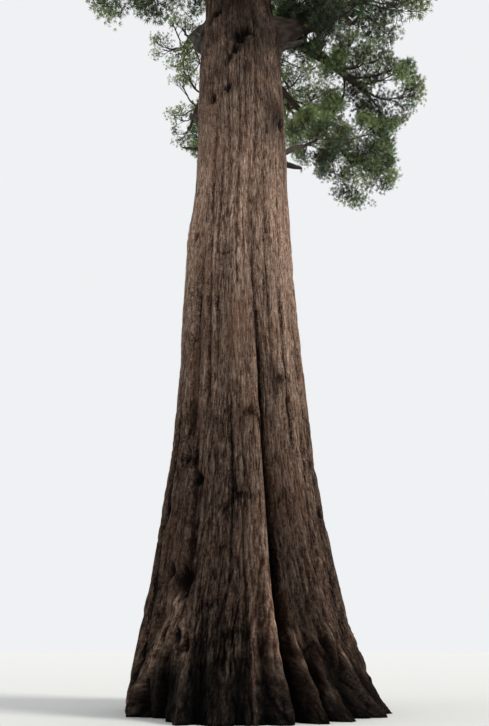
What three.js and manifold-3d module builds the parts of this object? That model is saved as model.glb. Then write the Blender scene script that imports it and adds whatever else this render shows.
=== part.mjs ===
// Giant sequoia: an old tree with a huge fluted trunk, heavy boughs from less than half way up,
// and a crown of separate rounded masses of foliage round the upper trunk.
// Frame: +Z up, origin in the middle of the flat cut at ground level, -Y is the side with the deep seam
// between two root buttresses. Lengths in the tables are metres of the living tree; M turns them
// into millimetres of this model, which is 40 m tall.
import * as THREE from 'three';
import { mergeVertices } from 'three/addons/utils/BufferGeometryUtils.js';
import Module from 'manifold-3d';

// ---------------------------------------------------------------- driving dimensions
const REAL_HEIGHT = 83.8;          // m, the living tree, ground to crown top
const MODEL_HEIGHT = 40000;        // mm, this model, ground to crown top
const M = MODEL_HEIGHT / REAL_HEIGHT; // mm of model for each metre of tree
const TRUNK_TIP = 82.4;            // m, tip of the trunk, inside the topmost mass
const GAP = 3;                     // mm, clearance between neighbouring solids
const SEAM_AZIMUTH = 285;          // deg, the deep seam between two root buttresses
const SEAM_SWING = 10;             // deg, how far the seam turns aside at the ground
const SEAM_SWING_FADE = 1.5;       // m, height over which that fades
const SEAM_DEPTH = 0.62;           // m, at the ground
const SEAM_REACH = 15;             // m, height at which the seam has closed to a third
const BOUGH_SIDES = 7;
const BOUGH_STEPS = 5;
const MASS_DETAIL = 3;             // subdivision of each foliage solid
const CORE_SIDES = 8;              // corners of the opening that an upper mass leaves round the trunk

// trunk radius [height, radius], m
const TRUNK_PROFILE = [
  [0, 4.52], [0.4, 4.34], [1.3, 4.08], [2.3, 3.88], [3.3, 3.72], [4.3, 3.56], [5.4, 3.42], [6.6, 3.28],
  [7.8, 3.16], [9.1, 3.02], [10.5, 2.94], [11.9, 2.88], [13.4, 2.81], [15, 2.77], [16.7, 2.75],
  [18.4, 2.69], [20.3, 2.63], [22.3, 2.57], [24.5, 2.51], [26.7, 2.51], [29.1, 2.53], [31.7, 2.53],
  [34.5, 2.5], [36.6, 2.44], [38.4, 2.22], [40.8, 2.2], [45, 2.18], [50, 2.16], [55, 2.12], [60, 1.94],
  [65, 1.66], [70, 1.28], [75, 0.86], [79, 0.5], [81.4, 0.24], [82.4, 0.08],
];
// trunk axis [height, x, y], m: nearly plumb, with a slight sway
const TRUNK_AXIS = [
  [0, 0, 0], [4, 0.06, 0], [10.5, -0.02, 0.02], [18.4, -0.16, 0.05], [26.7, -0.03, 0.02], [37.5, -0.2, -0.05],
  [50, -0.34, 0.1], [62, -0.1, 0.3], [74, 0.22, 0.1], [82.4, 0.1, -0.1],
];
// heights of the trunk's rings, m
const TRUNK_RINGS = [
  0, 0.4, 0.9, 1.6, 2.5, 3.6, 5, 6.8, 9, 11.8, 15, 18.6, 22.4, 26.4, 30.4, 34.4, 38, 41, 45, 50, 55, 60, 65,
  70, 75, 79.5, TRUNK_TIP,
];
// azimuth steps of the trunk's corners on both sides of the seam, deg
const TRUNK_STEPS = [5.5, 14, 24, 34.5, 45, 56, 67, 78, 90, 102, 114, 126, 138, 150, 165];
// root buttresses: [azimuth deg, swell m at the ground, half width deg, height m over which it fades]
const BUTTRESSES = [
  [207, 0.15, 15, 2.6], [236, 0.18, 9, 3.4], [262, 0.26, 17, 5.0], [297, 0.32, 8, 5.0], [318, 0.3, 13, 3.2],
  [346, 0.54, 16, 2.6], [22, 0.42, 15, 3.0], [58, 0.34, 14, 2.6], [96, 0.5, 17, 3.4], [133, 0.36, 13, 2.8],
  [170, 0.28, 12, 3.0],
];
// hollows between the roots: [azimuth deg, depth m at the ground, half width deg, fade m]
const HOLLOWS = [[191, 0.73, 24, 1.3], [224, 0.42, 8, 1.9], [305.5, 0.26, 4.5, 3.2], [242, 0.12, 3, 9], [40, 0.22, 7, 3], [114, 0.25, 7, 4], [152, 0.22, 6, 3]];

// One row for each foliage mass: [tier, number, azimuth deg, distance of its centre from the axis, height of
// its centre, half length outward, half width across, half height, seed], m
const MASSES = [
  ['hanging', 1, 24, 11.2, 38.6, 4.2, 4.2, 3.9, 11],
  ['hanging', 2, 41, 12.0, 34.7, 3.7, 3.8, 3.3, 12],
  ['hanging', 3, 62, 9.7, 41.2, 3.5, 3.9, 4.4, 13],
  ['hanging', 4, 33, 6.7, 32.6, 2.5, 2.7, 3.3, 14],
  ['hanging', 5, 131, 7.6, 45.2, 2.5, 2.4, 3.8, 15],
  ['hanging', 6, 119, 8.6, 37.9, 2.1, 2.2, 2.8, 16],
  ['lower', 1, 8, 10.2, 45.6, 4.9, 4.3, 4.2, 21],
  ['lower', 2, 71, 11.0, 50.4, 4.5, 4.6, 4.3, 22],
  ['lower', 3, 98, 11.6, 43.6, 3.8, 4.1, 3.8, 23],
  ['lower', 4, 166, 10.6, 51.4, 4.6, 4.0, 4.4, 24],
  ['lower', 5, 204, 11.0, 46.6, 4.6, 4.3, 3.9, 25],
  ['lower', 6, 246, 10.6, 50.6, 4.5, 4.4, 4.5, 26],
  ['lower', 7, 289, 11.1, 45.6, 4.6, 4.3, 3.7, 27],
  ['lower', 8, 333, 11.9, 50.6, 4.4, 4.6, 4.3, 28],
  ['middle', 1, 28, 9.8, 57.4, 4.6, 4.3, 4.1, 31],
  ['middle', 2, 84, 9.8, 60.2, 4.2, 4.3, 4.1, 32],
  ['middle', 3, 134, 9.4, 57.6, 4.3, 4.2, 4.3, 33],
  ['middle', 4, 187, 9.3, 61.2, 4.5, 4.3, 3.8, 34],
  ['middle', 5, 231, 9.7, 58.6, 4.2, 4.1, 4.0, 35],
  ['middle', 6, 281, 9.2, 60.2, 4.6, 4.4, 4.1, 36],
  ['middle', 7, 332, 9.6, 61.6, 4.1, 4.2, 4.3, 37],
  ['upper', 1, 12, 6.5, 68.4, 4.6, 4.1, 4.0, 41],
  ['upper', 2, 72, 6.2, 70.6, 4.3, 3.9, 3.8, 42],
  ['upper', 3, 131, 6.6, 67.8, 4.6, 4.0, 4.1, 43],
  ['upper', 4, 193, 6.1, 70.9, 4.3, 4.0, 3.8, 44],
  ['upper', 5, 250, 6.5, 67.4, 4.6, 4.1, 4.1, 45],
  ['upper', 6, 312, 6.0, 71.3, 4.3, 4.0, 3.8, 46],
  ['head', 1, 45, 3.7, 76.4, 3.8, 3.6, 3.4, 51],
  ['head', 2, 166, 3.6, 77.0, 3.7, 3.5, 3.3, 52],
  ['head', 3, 285, 3.7, 75.9, 3.8, 3.6, 3.5, 53],
  ['top', 1, 60, 0.6, 80.5, 3.3, 3.1, 2.75, 61],
];
// One row for each bough: [tier, number, height where it leaves the trunk, azimuth there deg, diameter there,
// rise of its first third, rise just before its mass], m
const BOUGHS = [
  ['hanging', 1, 41.0, 30, 1.1, 1.0, 1.6],
  ['hanging', 2, 37.2, 52, 0.55, 0.9, 1.3],
  ['hanging', 3, 39.6, 66, 0.95, 0.7, -0.6],
  ['hanging', 4, 27.4, 12, 0.42, 1.2, -1.4],
  ['hanging', 5, 41.6, 146, 0.95, 0.6, -1.2],
  ['hanging', 6, 37.0, 124, 0.55, 0.8, 0.8],
  ['lower', 1, 37.7, 4, 1.95, 3.0, -5.0],
  ['lower', 2, 44.8, 76, 1.3, 0.2, -2.4],
  ['lower', 3, 43.0, 98, 1.2, 0.6, -0.4],
  ['lower', 4, 45.5, 170, 1.35, 0.2, -2.4],
  ['lower', 5, 42.0, 205, 1.3, 0.3, -1.8],
  ['lower', 6, 45.6, 243, 1.3, 0.2, -2.2],
  ['lower', 7, 41.8, 290, 1.35, 0.3, -1.6],
  ['lower', 8, 45.2, 334, 1.4, 0.2, -2.3],
  ['middle', 1, 52.0, 30, 1.1, 0.2, -2.2],
  ['middle', 2, 55.2, 84, 1.0, 0.2, -2.0],
  ['middle', 3, 52.6, 137, 1.1, 0.2, -2.0],
  ['middle', 4, 56.0, 187, 0.95, 0.2, -2.0],
  ['middle', 5, 53.6, 233, 1.0, 0.2, -2.0],
  ['middle', 6, 55.4, 281, 1.0, 0.2, -2.0],
  ['middle', 7, 56.6, 330, 0.95, 0.2, -2.0],
  ['upper', 1, 64.6, 15, 0.75, 0.3, -1.4],
  ['upper', 4, 66.8, 192, 0.7, 0.3, -1.4],
];
// Dead stubs, broken off: [name, height, azimuth deg, diameter, length outside the bark, rise over that length], m
const STUBS = [
  ['dead_stub_left_high', 36.7, 180, 0.95, 0.75, 1.5],
  ['dead_stub_left_middle', 30.1, 183, 0.55, 0.5, 0.35],
  ['dead_stub_left_low', 27.7, 186, 0.2, 0.95, -0.1],
  ['dead_stub_right_high', 36.4, 353, 0.45, 1.75, 0.6],
  ['dead_stub_right_low', 27.1, 4, 0.36, 1.0, -0.45],
];

// ---------------------------------------------------------------- helpers
const rad = (d) => (d * Math.PI) / 180;
const clamp = (v, a, b) => Math.min(b, Math.max(a, v));

function table(rows, z, column) {
  if (z <= rows[0][0]) return rows[0][column];
  for (let i = 1; i < rows.length; i++) {
    if (z <= rows[i][0]) {
      const t = (z - rows[i - 1][0]) / (rows[i][0] - rows[i - 1][0]);
      return rows[i - 1][column] + t * (rows[i][column] - rows[i - 1][column]);
    }
  }
  return rows[rows.length - 1][column];
}

// signed difference of two azimuths, deg
const turn = (a, b) => ((((a - b) % 360) + 540) % 360) - 180;
const bell = (x, w) => Math.exp(-0.5 * (x / w) ** 2);

// azimuth of the seam at a height, deg
const seamAzimuth = (z) => SEAM_AZIMUTH + SEAM_SWING * Math.exp(-z / SEAM_SWING_FADE);

// trunk radius at an azimuth and height, m
function trunkRadius(azimuth, z) {
  let r = table(TRUNK_PROFILE, z, 1);
  for (const [az, swell, width, fade] of BUTTRESSES) r += swell * bell(turn(azimuth, az), width) * Math.exp(-z / fade);
  for (const [az, depth, width, fade] of HOLLOWS) r -= depth * bell(turn(azimuth, az), width) * Math.exp(-z / fade);
  // long shallow flutes that run up the trunk
  const flute = clamp(r / 4, 0, 1) * 0.05;
  r += flute * (Math.sin(rad(5 * azimuth + 40 + 3 * z)) + 0.7 * Math.sin(rad(8 * azimuth + 200 - 2 * z)));
  r -= SEAM_DEPTH * bell(turn(azimuth, seamAzimuth(z)), 2.6) * (0.12 + 0.88 * Math.exp(-((z / SEAM_REACH) ** 1.6))) * clamp(1 - (z - 22) / 16, 0, 1);
  return Math.max(r, 0.05);
}

const axisAt = (z) => new THREE.Vector3(table(TRUNK_AXIS, z, 1), table(TRUNK_AXIS, z, 2), z);
const outward = (azimuth) => new THREE.Vector3(Math.cos(rad(azimuth)), Math.sin(rad(azimuth)), 0);

// repeatable noise over directions: a sum of waves with seeded directions and phases
function waves(seed) {
  let s = seed * 7919 + 13;
  const next = () => {
    s = (s * 1103515245 + 12345) % 2147483648;
    return s / 2147483648;
  };
  for (let i = 0; i < 5; i++) next();
  const list = [];
  for (let i = 0; i < 9; i++) {
    const u = next() * 2 - 1, a = next() * 2 * Math.PI, k = i < 4 ? 2.2 : 4.6, q = Math.sqrt(1 - u * u);
    list.push([k * q * Math.cos(a), k * q * Math.sin(a), k * u, next() * 2 * Math.PI, i < 4 ? 0.09 : 0.055]);
  }
  return (d) => list.reduce((sum, [x, y, z, phase, size]) => sum + size * Math.sin(x * d.x + y * d.y + z * d.z + phase), 0);
}

// closed lofted solid through rings of equal size, with flat ends
function loft(rings) {
  const n = rings[0].length, positions = [], index = [];
  rings.forEach((ring) => ring.forEach((p) => positions.push(p.x, p.y, p.z)));
  for (let i = 0; i + 1 < rings.length; i++) {
    for (let j = 0; j < n; j++) {
      const a = i * n + j, b = i * n + ((j + 1) % n);
      index.push(a, b, b + n, a, b + n, a + n);
    }
  }
  const last = (rings.length - 1) * n;
  const middle = (ring) => ring.reduce((c, p) => c.add(p), new THREE.Vector3()).divideScalar(n);
  const low = positions.length / 3;
  const c0 = middle(rings[0]), c1 = middle(rings[rings.length - 1]);
  positions.push(c0.x, c0.y, c0.z, c1.x, c1.y, c1.z);
  for (let j = 0; j < n; j++) {
    index.push(low, (j + 1) % n, j);
    index.push(low + 1, last + j, last + ((j + 1) % n));
  }
  const g = new THREE.BufferGeometry();
  g.setAttribute('position', new THREE.Float32BufferAttribute(positions, 3));
  g.setIndex(index);
  return g;
}

// ---------------------------------------------------------------- trunk
function trunkGeometry(extra) {
  const offsets = [-180, ...TRUNK_STEPS.map((s) => -s).reverse(), 0, ...TRUNK_STEPS];
  const rings = TRUNK_RINGS.map((z) => {
    const c = axisAt(z);
    return offsets.map((o) => {
      const az = seamAzimuth(z) + o, r = trunkRadius(az, z) * M + extra;
      return new THREE.Vector3(c.x * M + r * Math.cos(rad(az)), c.y * M + r * Math.sin(rad(az)), z * M + (z === TRUNK_TIP ? extra : 0));
    });
  });
  return loft(rings);
}

// the plain round core that masses of the crown are cut round, just outside the bark
function coreGeometry() {
  const rings = [34, 45, 55, 65, 72, 78, TRUNK_TIP + 0.1].map((z) => {
    const c = axisAt(z), r = Math.max(table(TRUNK_PROFILE, z, 1), 0.1) * M * 1.16 + 12 * GAP, ring = [];
    for (let i = 0; i < CORE_SIDES; i++) {
      const a = (2 * Math.PI * (i + 0.3)) / CORE_SIDES;
      ring.push(new THREE.Vector3(c.x * M + r * Math.cos(a), c.y * M + r * Math.sin(a), z * M));
    }
    return ring;
  });
  return loft(rings);
}

// ---------------------------------------------------------------- boughs and stubs
// tapering limb along a curve; sizes in m
function limbGeometry(curve, radiusAt, steps, sides, extra, seed) {
  const rings = [];
  const ripple = waves(seed);
  let side = null;
  for (let i = 0; i <= steps; i++) {
    const t = i / steps, p = curve.getPoint(t), tangent = curve.getTangent(t);
    if (!side) side = new THREE.Vector3(0, 0, 1).cross(tangent).normalize();
    side.sub(tangent.clone().multiplyScalar(side.dot(tangent))).normalize();
    const up = tangent.clone().cross(side).normalize();
    const end = i === steps ? extra : 0;
    const ring = [];
    for (let j = 0; j < sides; j++) {
      const a = (2 * Math.PI * j) / sides;
      const d = side.clone().multiplyScalar(Math.cos(a)).addScaledVector(up, Math.sin(a));
      const r = radiusAt(t) * (1 + 0.35 * ripple(d.clone().multiplyScalar(0.6).addScaledVector(tangent, 2 * t))) * M + extra;
      ring.push(p.clone().multiplyScalar(M).addScaledVector(d, r).addScaledVector(tangent, end));
    }
    rings.push(ring);
  }
  return loft(rings);
}

function massCentre([, , az, distance, height]) {
  return outward(az).multiplyScalar(distance).add(axisAt(height));
}

function boughCurve(bough, mass) {
  const [, , z, az, , rise, fall] = bough;
  const from = axisAt(z).add(outward(az).multiplyScalar(trunkRadius(az, z) - 1.1));
  const to = massCentre(mass).add(outward(mass[2]).multiplyScalar(-0.25 * mass[5])).add(new THREE.Vector3(0, 0, -0.1 * mass[7]));
  const span = Math.hypot(to.x - from.x, to.y - from.y);
  const one = from.clone().add(outward(az).multiplyScalar(0.42 * span)).add(new THREE.Vector3(0, 0, rise));
  const two = to.clone().add(outward(mass[2]).multiplyScalar(-0.34 * span)).add(new THREE.Vector3(0, 0, fall));
  return new THREE.CubicBezierCurve3(from, one, two, to);
}

// a limb is thick at its collar, then tapers evenly
const boughRadius = (d) => (t) => 0.5 * d * ((1 - 0.68 * t) + 0.3 * Math.exp(-t / 0.12) * clamp(1.4 - d / 2, 0.4, 1));

function stubGeometry([name, z, az, d, length, rise], extra) {
  const start = trunkRadius(az, z) - 0.55;
  const from = axisAt(z).add(outward(az).multiplyScalar(start));
  const to = axisAt(z + rise).add(outward(az).multiplyScalar(start + 0.55 + length));
  const mid = from.clone().lerp(to, 0.5).add(new THREE.Vector3(0, 0, -0.08 * length));
  const curve = new THREE.QuadraticBezierCurve3(from, mid, to);
  return limbGeometry(curve, (t) => 0.5 * d * (1.05 - 0.62 * t * t), 2, 6, extra, name.length + z);
}

// ---------------------------------------------------------------- foliage masses
function massGeometry(mass, swell) {
  const [, , az, , , a, b, c, seed] = mass;
  const centre = massCentre(mass), along = outward(az), across = outward(az + 90), noise = waves(seed);
  const g = new THREE.OctahedronGeometry(1, MASS_DETAIL);
  g.deleteAttribute('normal');
  g.deleteAttribute('uv');
  const merged = mergeVertices(g, 1e-4);
  const p = merged.getAttribute('position'), d = new THREE.Vector3();
  for (let i = 0; i < p.count; i++) {
    d.fromBufferAttribute(p, i).normalize();
    const under = d.z < 0 ? 1 - 0.16 * d.z * d.z : 1; // flatter underneath
    const k = (1 + noise(d)) * under * swell;
    const v = centre.clone().addScaledVector(along, a * k * d.x).addScaledVector(across, b * k * d.y);
    v.z += c * k * d.z;
    v.multiplyScalar(M);
    p.setXYZ(i, v.x, v.y, v.z);
  }
  return merged;
}

// ---------------------------------------------------------------- cutting
const wasm = await Module();
wasm.setup();

function solid(geometry) {
  const p = geometry.getAttribute('position');
  return new wasm.Manifold(new wasm.Mesh({
    numProp: 3,
    vertProperties: new Float32Array(p.array),
    triVerts: new Uint32Array(geometry.getIndex().array),
  }));
}

// the largest closed piece of a solid, as a geometry
function largest(manifold) {
  const mesh = manifold.getMesh(), count = mesh.vertProperties.length / mesh.numProp, tri = mesh.triVerts;
  const parent = Array.from({ length: count }, (_, i) => i);
  const find = (i) => {
    while (parent[i] !== i) i = parent[i] = parent[parent[i]];
    return i;
  };
  if (mesh.mergeFromVert) for (let i = 0; i < mesh.mergeFromVert.length; i++) parent[find(mesh.mergeFromVert[i])] = find(mesh.mergeToVert[i]);
  for (let i = 0; i < tri.length; i += 3) {
    parent[find(tri[i])] = find(tri[i + 1]);
    parent[find(tri[i + 1])] = find(tri[i + 2]);
  }
  const at = (i) => new THREE.Vector3(mesh.vertProperties[i * mesh.numProp], mesh.vertProperties[i * mesh.numProp + 1], mesh.vertProperties[i * mesh.numProp + 2]);
  const volume = new Map();
  for (let i = 0; i < tri.length; i += 3) {
    const k = find(tri[i]);
    volume.set(k, (volume.get(k) || 0) + at(tri[i]).dot(at(tri[i + 1]).cross(at(tri[i + 2]))) / 6);
  }
  const best = [...volume.entries()].sort((x, y) => y[1] - x[1])[0][0];
  const g = new THREE.BufferGeometry(), index = [];
  for (let i = 0; i < tri.length; i += 3) if (find(tri[i]) === best) index.push(tri[i], tri[i + 1], tri[i + 2]);
  const used = new Map(), positions = [];
  const mapped = index.map((i) => {
    if (!used.has(i)) {
      used.set(i, positions.length / 3);
      const v = at(i);
      positions.push(v.x, v.y, v.z);
    }
    return used.get(i);
  });
  g.setAttribute('position', new THREE.Float32BufferAttribute(positions, 3));
  g.setIndex(mapped);
  return mergeVertices(g, 1e-4);
}

const near = (p, q) => {
  p.geometry.computeBoundingBox();
  q.geometry.computeBoundingBox();
  return p.geometry.boundingBox.intersectsBox(q.geometry.boundingBox);
};
const entry = (geometry) => ({ geometry, solid: solid(geometry) });

// ---------------------------------------------------------------- the tree
const group = new THREE.Group();
const bark = new THREE.MeshStandardMaterial({ color: 0x7a5a46, roughness: 0.92, metalness: 0 });
const boughBark = new THREE.MeshStandardMaterial({ color: 0x6b5040, roughness: 0.92, metalness: 0 });
const deadWood = new THREE.MeshStandardMaterial({ color: 0x5d5148, roughness: 0.9, metalness: 0 });
const leafage = new THREE.MeshStandardMaterial({ color: 0x3d4c2b, roughness: 0.8, metalness: 0 });

function add(name, geometry, material) {
  geometry.computeVertexNormals();
  const mesh = new THREE.Mesh(geometry, material);
  mesh.name = name;
  group.add(mesh);
}

add('trunk', trunkGeometry(0), bark);
const trunkCut = entry(trunkGeometry(GAP));
const core = entry(coreGeometry());

const limbs = BOUGHS.map((bough) => {
  const mass = MASSES.find((m) => m[0] === bough[0] && m[1] === bough[1]);
  const curve = boughCurve(bough, mass), radius = boughRadius(bough[4]), seed = mass[8] + 100;
  return {
    name: `bough_${bough[0]}_${bough[1]}`,
    mass: MASSES.indexOf(mass),
    plain: entry(limbGeometry(curve, radius, BOUGH_STEPS, BOUGH_SIDES, 0, seed)),
    fat: entry(limbGeometry(curve, radius, BOUGH_STEPS, BOUGH_SIDES, GAP, seed)),
  };
});
const blobs = MASSES.map((mass) => ({
  name: mass[0] === 'top' ? 'foliage_top' : `foliage_${mass[0]}_${mass[1]}`,
  plain: entry(massGeometry(mass, 1)),
  fat: entry(massGeometry(mass, 1.0025)),
}));

for (const limb of limbs) {
  let body = limb.plain.solid.subtract(trunkCut.solid).subtract(blobs[limb.mass].fat.solid);
  add(limb.name, largest(body), boughBark);
}
for (const stub of STUBS) {
  let body = solid(stubGeometry(stub, 0)).subtract(trunkCut.solid);
  for (const limb of limbs) body = body.subtract(limb.fat.solid);
  add(stub[0], largest(body), deadWood);
}
const stubCuts = STUBS.map((stub) => entry(stubGeometry(stub, GAP)));
blobs.forEach((blob, i) => {
  let body = blob.plain.solid;
  if (near(blob.plain, core)) body = body.subtract(core.solid);
  for (const cut of stubCuts) if (near(blob.plain, cut)) body = body.subtract(cut.solid);
  limbs.forEach((limb) => {
    if (limb.mass !== i && near(blob.plain, limb.fat)) body = body.subtract(limb.fat.solid);
  });
  for (let j = 0; j < i; j++) if (near(blob.plain, blobs[j].fat)) body = body.subtract(blobs[j].fat.solid);
  add(blob.name, largest(body), leafage);
});

export default group;
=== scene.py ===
import math

import bpy
import numpy as np
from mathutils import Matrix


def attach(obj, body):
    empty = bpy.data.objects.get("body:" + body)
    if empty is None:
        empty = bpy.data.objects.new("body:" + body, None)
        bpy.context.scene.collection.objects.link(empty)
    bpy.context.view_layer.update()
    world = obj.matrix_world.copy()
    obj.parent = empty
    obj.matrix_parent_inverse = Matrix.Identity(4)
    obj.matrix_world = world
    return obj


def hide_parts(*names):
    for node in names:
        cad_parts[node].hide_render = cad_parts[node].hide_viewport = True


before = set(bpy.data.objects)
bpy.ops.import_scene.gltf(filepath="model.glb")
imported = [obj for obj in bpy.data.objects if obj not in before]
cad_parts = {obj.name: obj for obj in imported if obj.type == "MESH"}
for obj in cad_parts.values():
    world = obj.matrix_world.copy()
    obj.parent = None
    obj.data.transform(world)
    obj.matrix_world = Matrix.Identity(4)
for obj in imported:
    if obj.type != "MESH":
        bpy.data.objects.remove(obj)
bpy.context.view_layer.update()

# Giant sequoia. Everything is worked out in metres of the living tree and scaled by K into this 40 m model.
# +Z up, origin in the middle of the flat cut at ground level, -Y is the side with the deep seam.
K = 40.0 / 83.8
TAU = 2 * math.pi

# ---------------------------------------------------------------- driving sizes, metres of the living tree
TRUNK_TIP = 82.4
SEAM_AZIMUTH = 285.0
SEAM_DEPTH = 0.62
SEAM_REACH = 15.0
TRUNK_PROFILE = np.array([
    [0, 4.52], [0.4, 4.34], [1.3, 4.08], [2.3, 3.88], [3.3, 3.72], [4.3, 3.56], [5.4, 3.42], [6.6, 3.28],
    [7.8, 3.16], [9.1, 3.02], [10.5, 2.94], [11.9, 2.88], [13.4, 2.81], [15, 2.77], [16.7, 2.75],
    [18.4, 2.69], [20.3, 2.63], [22.3, 2.57], [24.5, 2.51], [26.7, 2.51], [29.1, 2.53], [31.7, 2.53],
    [34.5, 2.5], [36.6, 2.44], [38.4, 2.22], [40.8, 2.2], [45, 2.18], [50, 2.16], [55, 2.12], [60, 1.94],
    [65, 1.66], [70, 1.28], [75, 0.86], [79, 0.5], [81.4, 0.24], [82.4, 0.08]])
TRUNK_AXIS = np.array([
    [0, 0, 0], [4, 0.06, 0], [10.5, -0.02, 0.02], [18.4, -0.16, 0.05], [26.7, -0.03, 0.02], [37.5, -0.2, -0.05],
    [50, -0.34, 0.1], [62, -0.1, 0.3], [74, 0.22, 0.1], [82.4, 0.1, -0.1]])
BUTTRESSES = [
    (207, 0.15, 15, 2.6), (236, 0.18, 9, 3.4), (262, 0.26, 17, 5.0), (297, 0.32, 8, 5.0), (318, 0.3, 13, 3.2),
    (346, 0.54, 16, 2.6), (22, 0.42, 15, 3.0), (58, 0.34, 14, 2.6), (96, 0.5, 17, 3.4), (133, 0.36, 13, 2.8),
    (170, 0.28, 12, 3.0)]
HOLLOWS = [(191, 0.73, 24, 1.3), (224, 0.42, 8, 1.9), (305.5, 0.26, 4.5, 3.2), (242, 0.12, 3, 9), (40, 0.22, 7, 3), (114, 0.25, 7, 4),
           (152, 0.22, 6, 3)]
MASSES = [
    ("hanging", 1, 24, 11.2, 38.6, 4.2, 4.2, 3.9, 11), ("hanging", 2, 41, 12.0, 34.7, 3.7, 3.8, 3.3, 12),
    ("hanging", 3, 62, 9.7, 41.2, 3.5, 3.9, 4.4, 13), ("hanging", 4, 33, 6.7, 32.6, 2.5, 2.7, 3.3, 14),
    ("hanging", 5, 131, 7.6, 45.2, 2.5, 2.4, 3.8, 15), ("hanging", 6, 119, 8.6, 37.9, 2.1, 2.2, 2.8, 16),
    ("lower", 1, 8, 10.2, 45.6, 4.9, 4.3, 4.2, 21), ("lower", 2, 71, 11.0, 50.4, 4.5, 4.6, 4.3, 22),
    ("lower", 3, 98, 11.6, 43.6, 3.8, 4.1, 3.8, 23), ("lower", 4, 166, 10.6, 51.4, 4.6, 4.0, 4.4, 24),
    ("lower", 5, 204, 11.0, 46.6, 4.6, 4.3, 3.9, 25), ("lower", 6, 246, 10.6, 50.6, 4.5, 4.4, 4.5, 26),
    ("lower", 7, 289, 11.1, 45.6, 4.6, 4.3, 3.7, 27), ("lower", 8, 333, 11.9, 50.6, 4.4, 4.6, 4.3, 28),
    ("middle", 1, 28, 9.8, 57.4, 4.6, 4.3, 4.1, 31), ("middle", 2, 84, 9.8, 60.2, 4.2, 4.3, 4.1, 32),
    ("middle", 3, 134, 9.4, 57.6, 4.3, 4.2, 4.3, 33), ("middle", 4, 187, 9.3, 61.2, 4.5, 4.3, 3.8, 34),
    ("middle", 5, 231, 9.7, 58.6, 4.2, 4.1, 4.0, 35), ("middle", 6, 281, 9.2, 60.2, 4.6, 4.4, 4.1, 36),
    ("middle", 7, 332, 9.6, 61.6, 4.1, 4.2, 4.3, 37),
    ("upper", 1, 12, 6.5, 68.4, 4.6, 4.1, 4.0, 41), ("upper", 2, 72, 6.2, 70.6, 4.3, 3.9, 3.8, 42),
    ("upper", 3, 131, 6.6, 67.8, 4.6, 4.0, 4.1, 43), ("upper", 4, 193, 6.1, 70.9, 4.3, 4.0, 3.8, 44),
    ("upper", 5, 250, 6.5, 67.4, 4.6, 4.1, 4.1, 45), ("upper", 6, 312, 6.0, 71.3, 4.3, 4.0, 3.8, 46),
    ("head", 1, 45, 3.7, 76.4, 3.8, 3.6, 3.4, 51), ("head", 2, 166, 3.6, 77.0, 3.7, 3.5, 3.3, 52),
    ("head", 3, 285, 3.7, 75.9, 3.8, 3.6, 3.5, 53), ("top", 1, 60, 0.6, 80.5, 3.3, 3.1, 2.75, 61)]
BOUGHS = [
    ("hanging", 1, 41.0, 30, 1.1, 1.0, 1.6), ("hanging", 2, 37.2, 52, 0.55, 0.9, 1.3),
    ("hanging", 3, 39.6, 66, 0.95, 0.7, -0.6), ("hanging", 4, 27.4, 12, 0.42, 1.2, -1.4),
    ("hanging", 5, 41.6, 146, 0.95, 0.6, -1.2), ("hanging", 6, 37.0, 124, 0.55, 0.8, 0.8),
    ("lower", 1, 37.7, 4, 1.95, 3.0, -5.0), ("lower", 2, 44.8, 76, 1.3, 0.2, -2.4),
    ("lower", 3, 43.0, 98, 1.2, 0.6, -0.4), ("lower", 4, 45.5, 170, 1.35, 0.2, -2.4),
    ("lower", 5, 42.0, 205, 1.3, 0.3, -1.8), ("lower", 6, 45.6, 243, 1.3, 0.2, -2.2),
    ("lower", 7, 41.8, 290, 1.35, 0.3, -1.6), ("lower", 8, 45.2, 334, 1.4, 0.2, -2.3),
    ("middle", 1, 52.0, 30, 1.1, 0.2, -2.2), ("middle", 2, 55.2, 84, 1.0, 0.2, -2.0),
    ("middle", 3, 52.6, 137, 1.1, 0.2, -2.0), ("middle", 4, 56.0, 187, 0.95, 0.2, -2.0),
    ("middle", 5, 53.6, 233, 1.0, 0.2, -2.0), ("middle", 6, 55.4, 281, 1.0, 0.2, -2.0),
    ("middle", 7, 56.6, 330, 0.95, 0.2, -2.0), ("upper", 1, 64.6, 15, 0.75, 0.3, -1.4),
    ("upper", 4, 66.8, 192, 0.7, 0.3, -1.4)]
# limbs that lie wholly inside the crown: tier, number, height at the trunk, azimuth there, diameter, rise, fall
INNER_BOUGHS = [
    ("upper", 2, 66.6, 72, 0.6, 0.3, -1.0), ("upper", 3, 64.0, 131, 0.7, 0.3, -1.2),
    ("upper", 5, 63.6, 250, 0.7, 0.3, -1.2), ("upper", 6, 67.2, 312, 0.6, 0.3, -1.0),
    ("head", 1, 73.4, 45, 0.42, 0.3, -0.5), ("head", 2, 74.2, 166, 0.4, 0.3, -0.5),
    ("head", 3, 73.0, 285, 0.42, 0.3, -0.5), ("top", 1, 78.4, 60, 0.3, 0.4, 0.2)]
STUBS = [
    ("dead_stub_left_high", 36.7, 180, 0.95, 0.75, 1.5), ("dead_stub_left_middle", 30.1, 183, 0.55, 0.5, 0.35),
    ("dead_stub_left_low", 27.7, 186, 0.2, 0.95, -0.1), ("dead_stub_right_high", 36.4, 353, 0.45, 1.75, 0.6),
    ("dead_stub_right_low", 27.1, 4, 0.36, 1.0, -0.45)]

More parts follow.
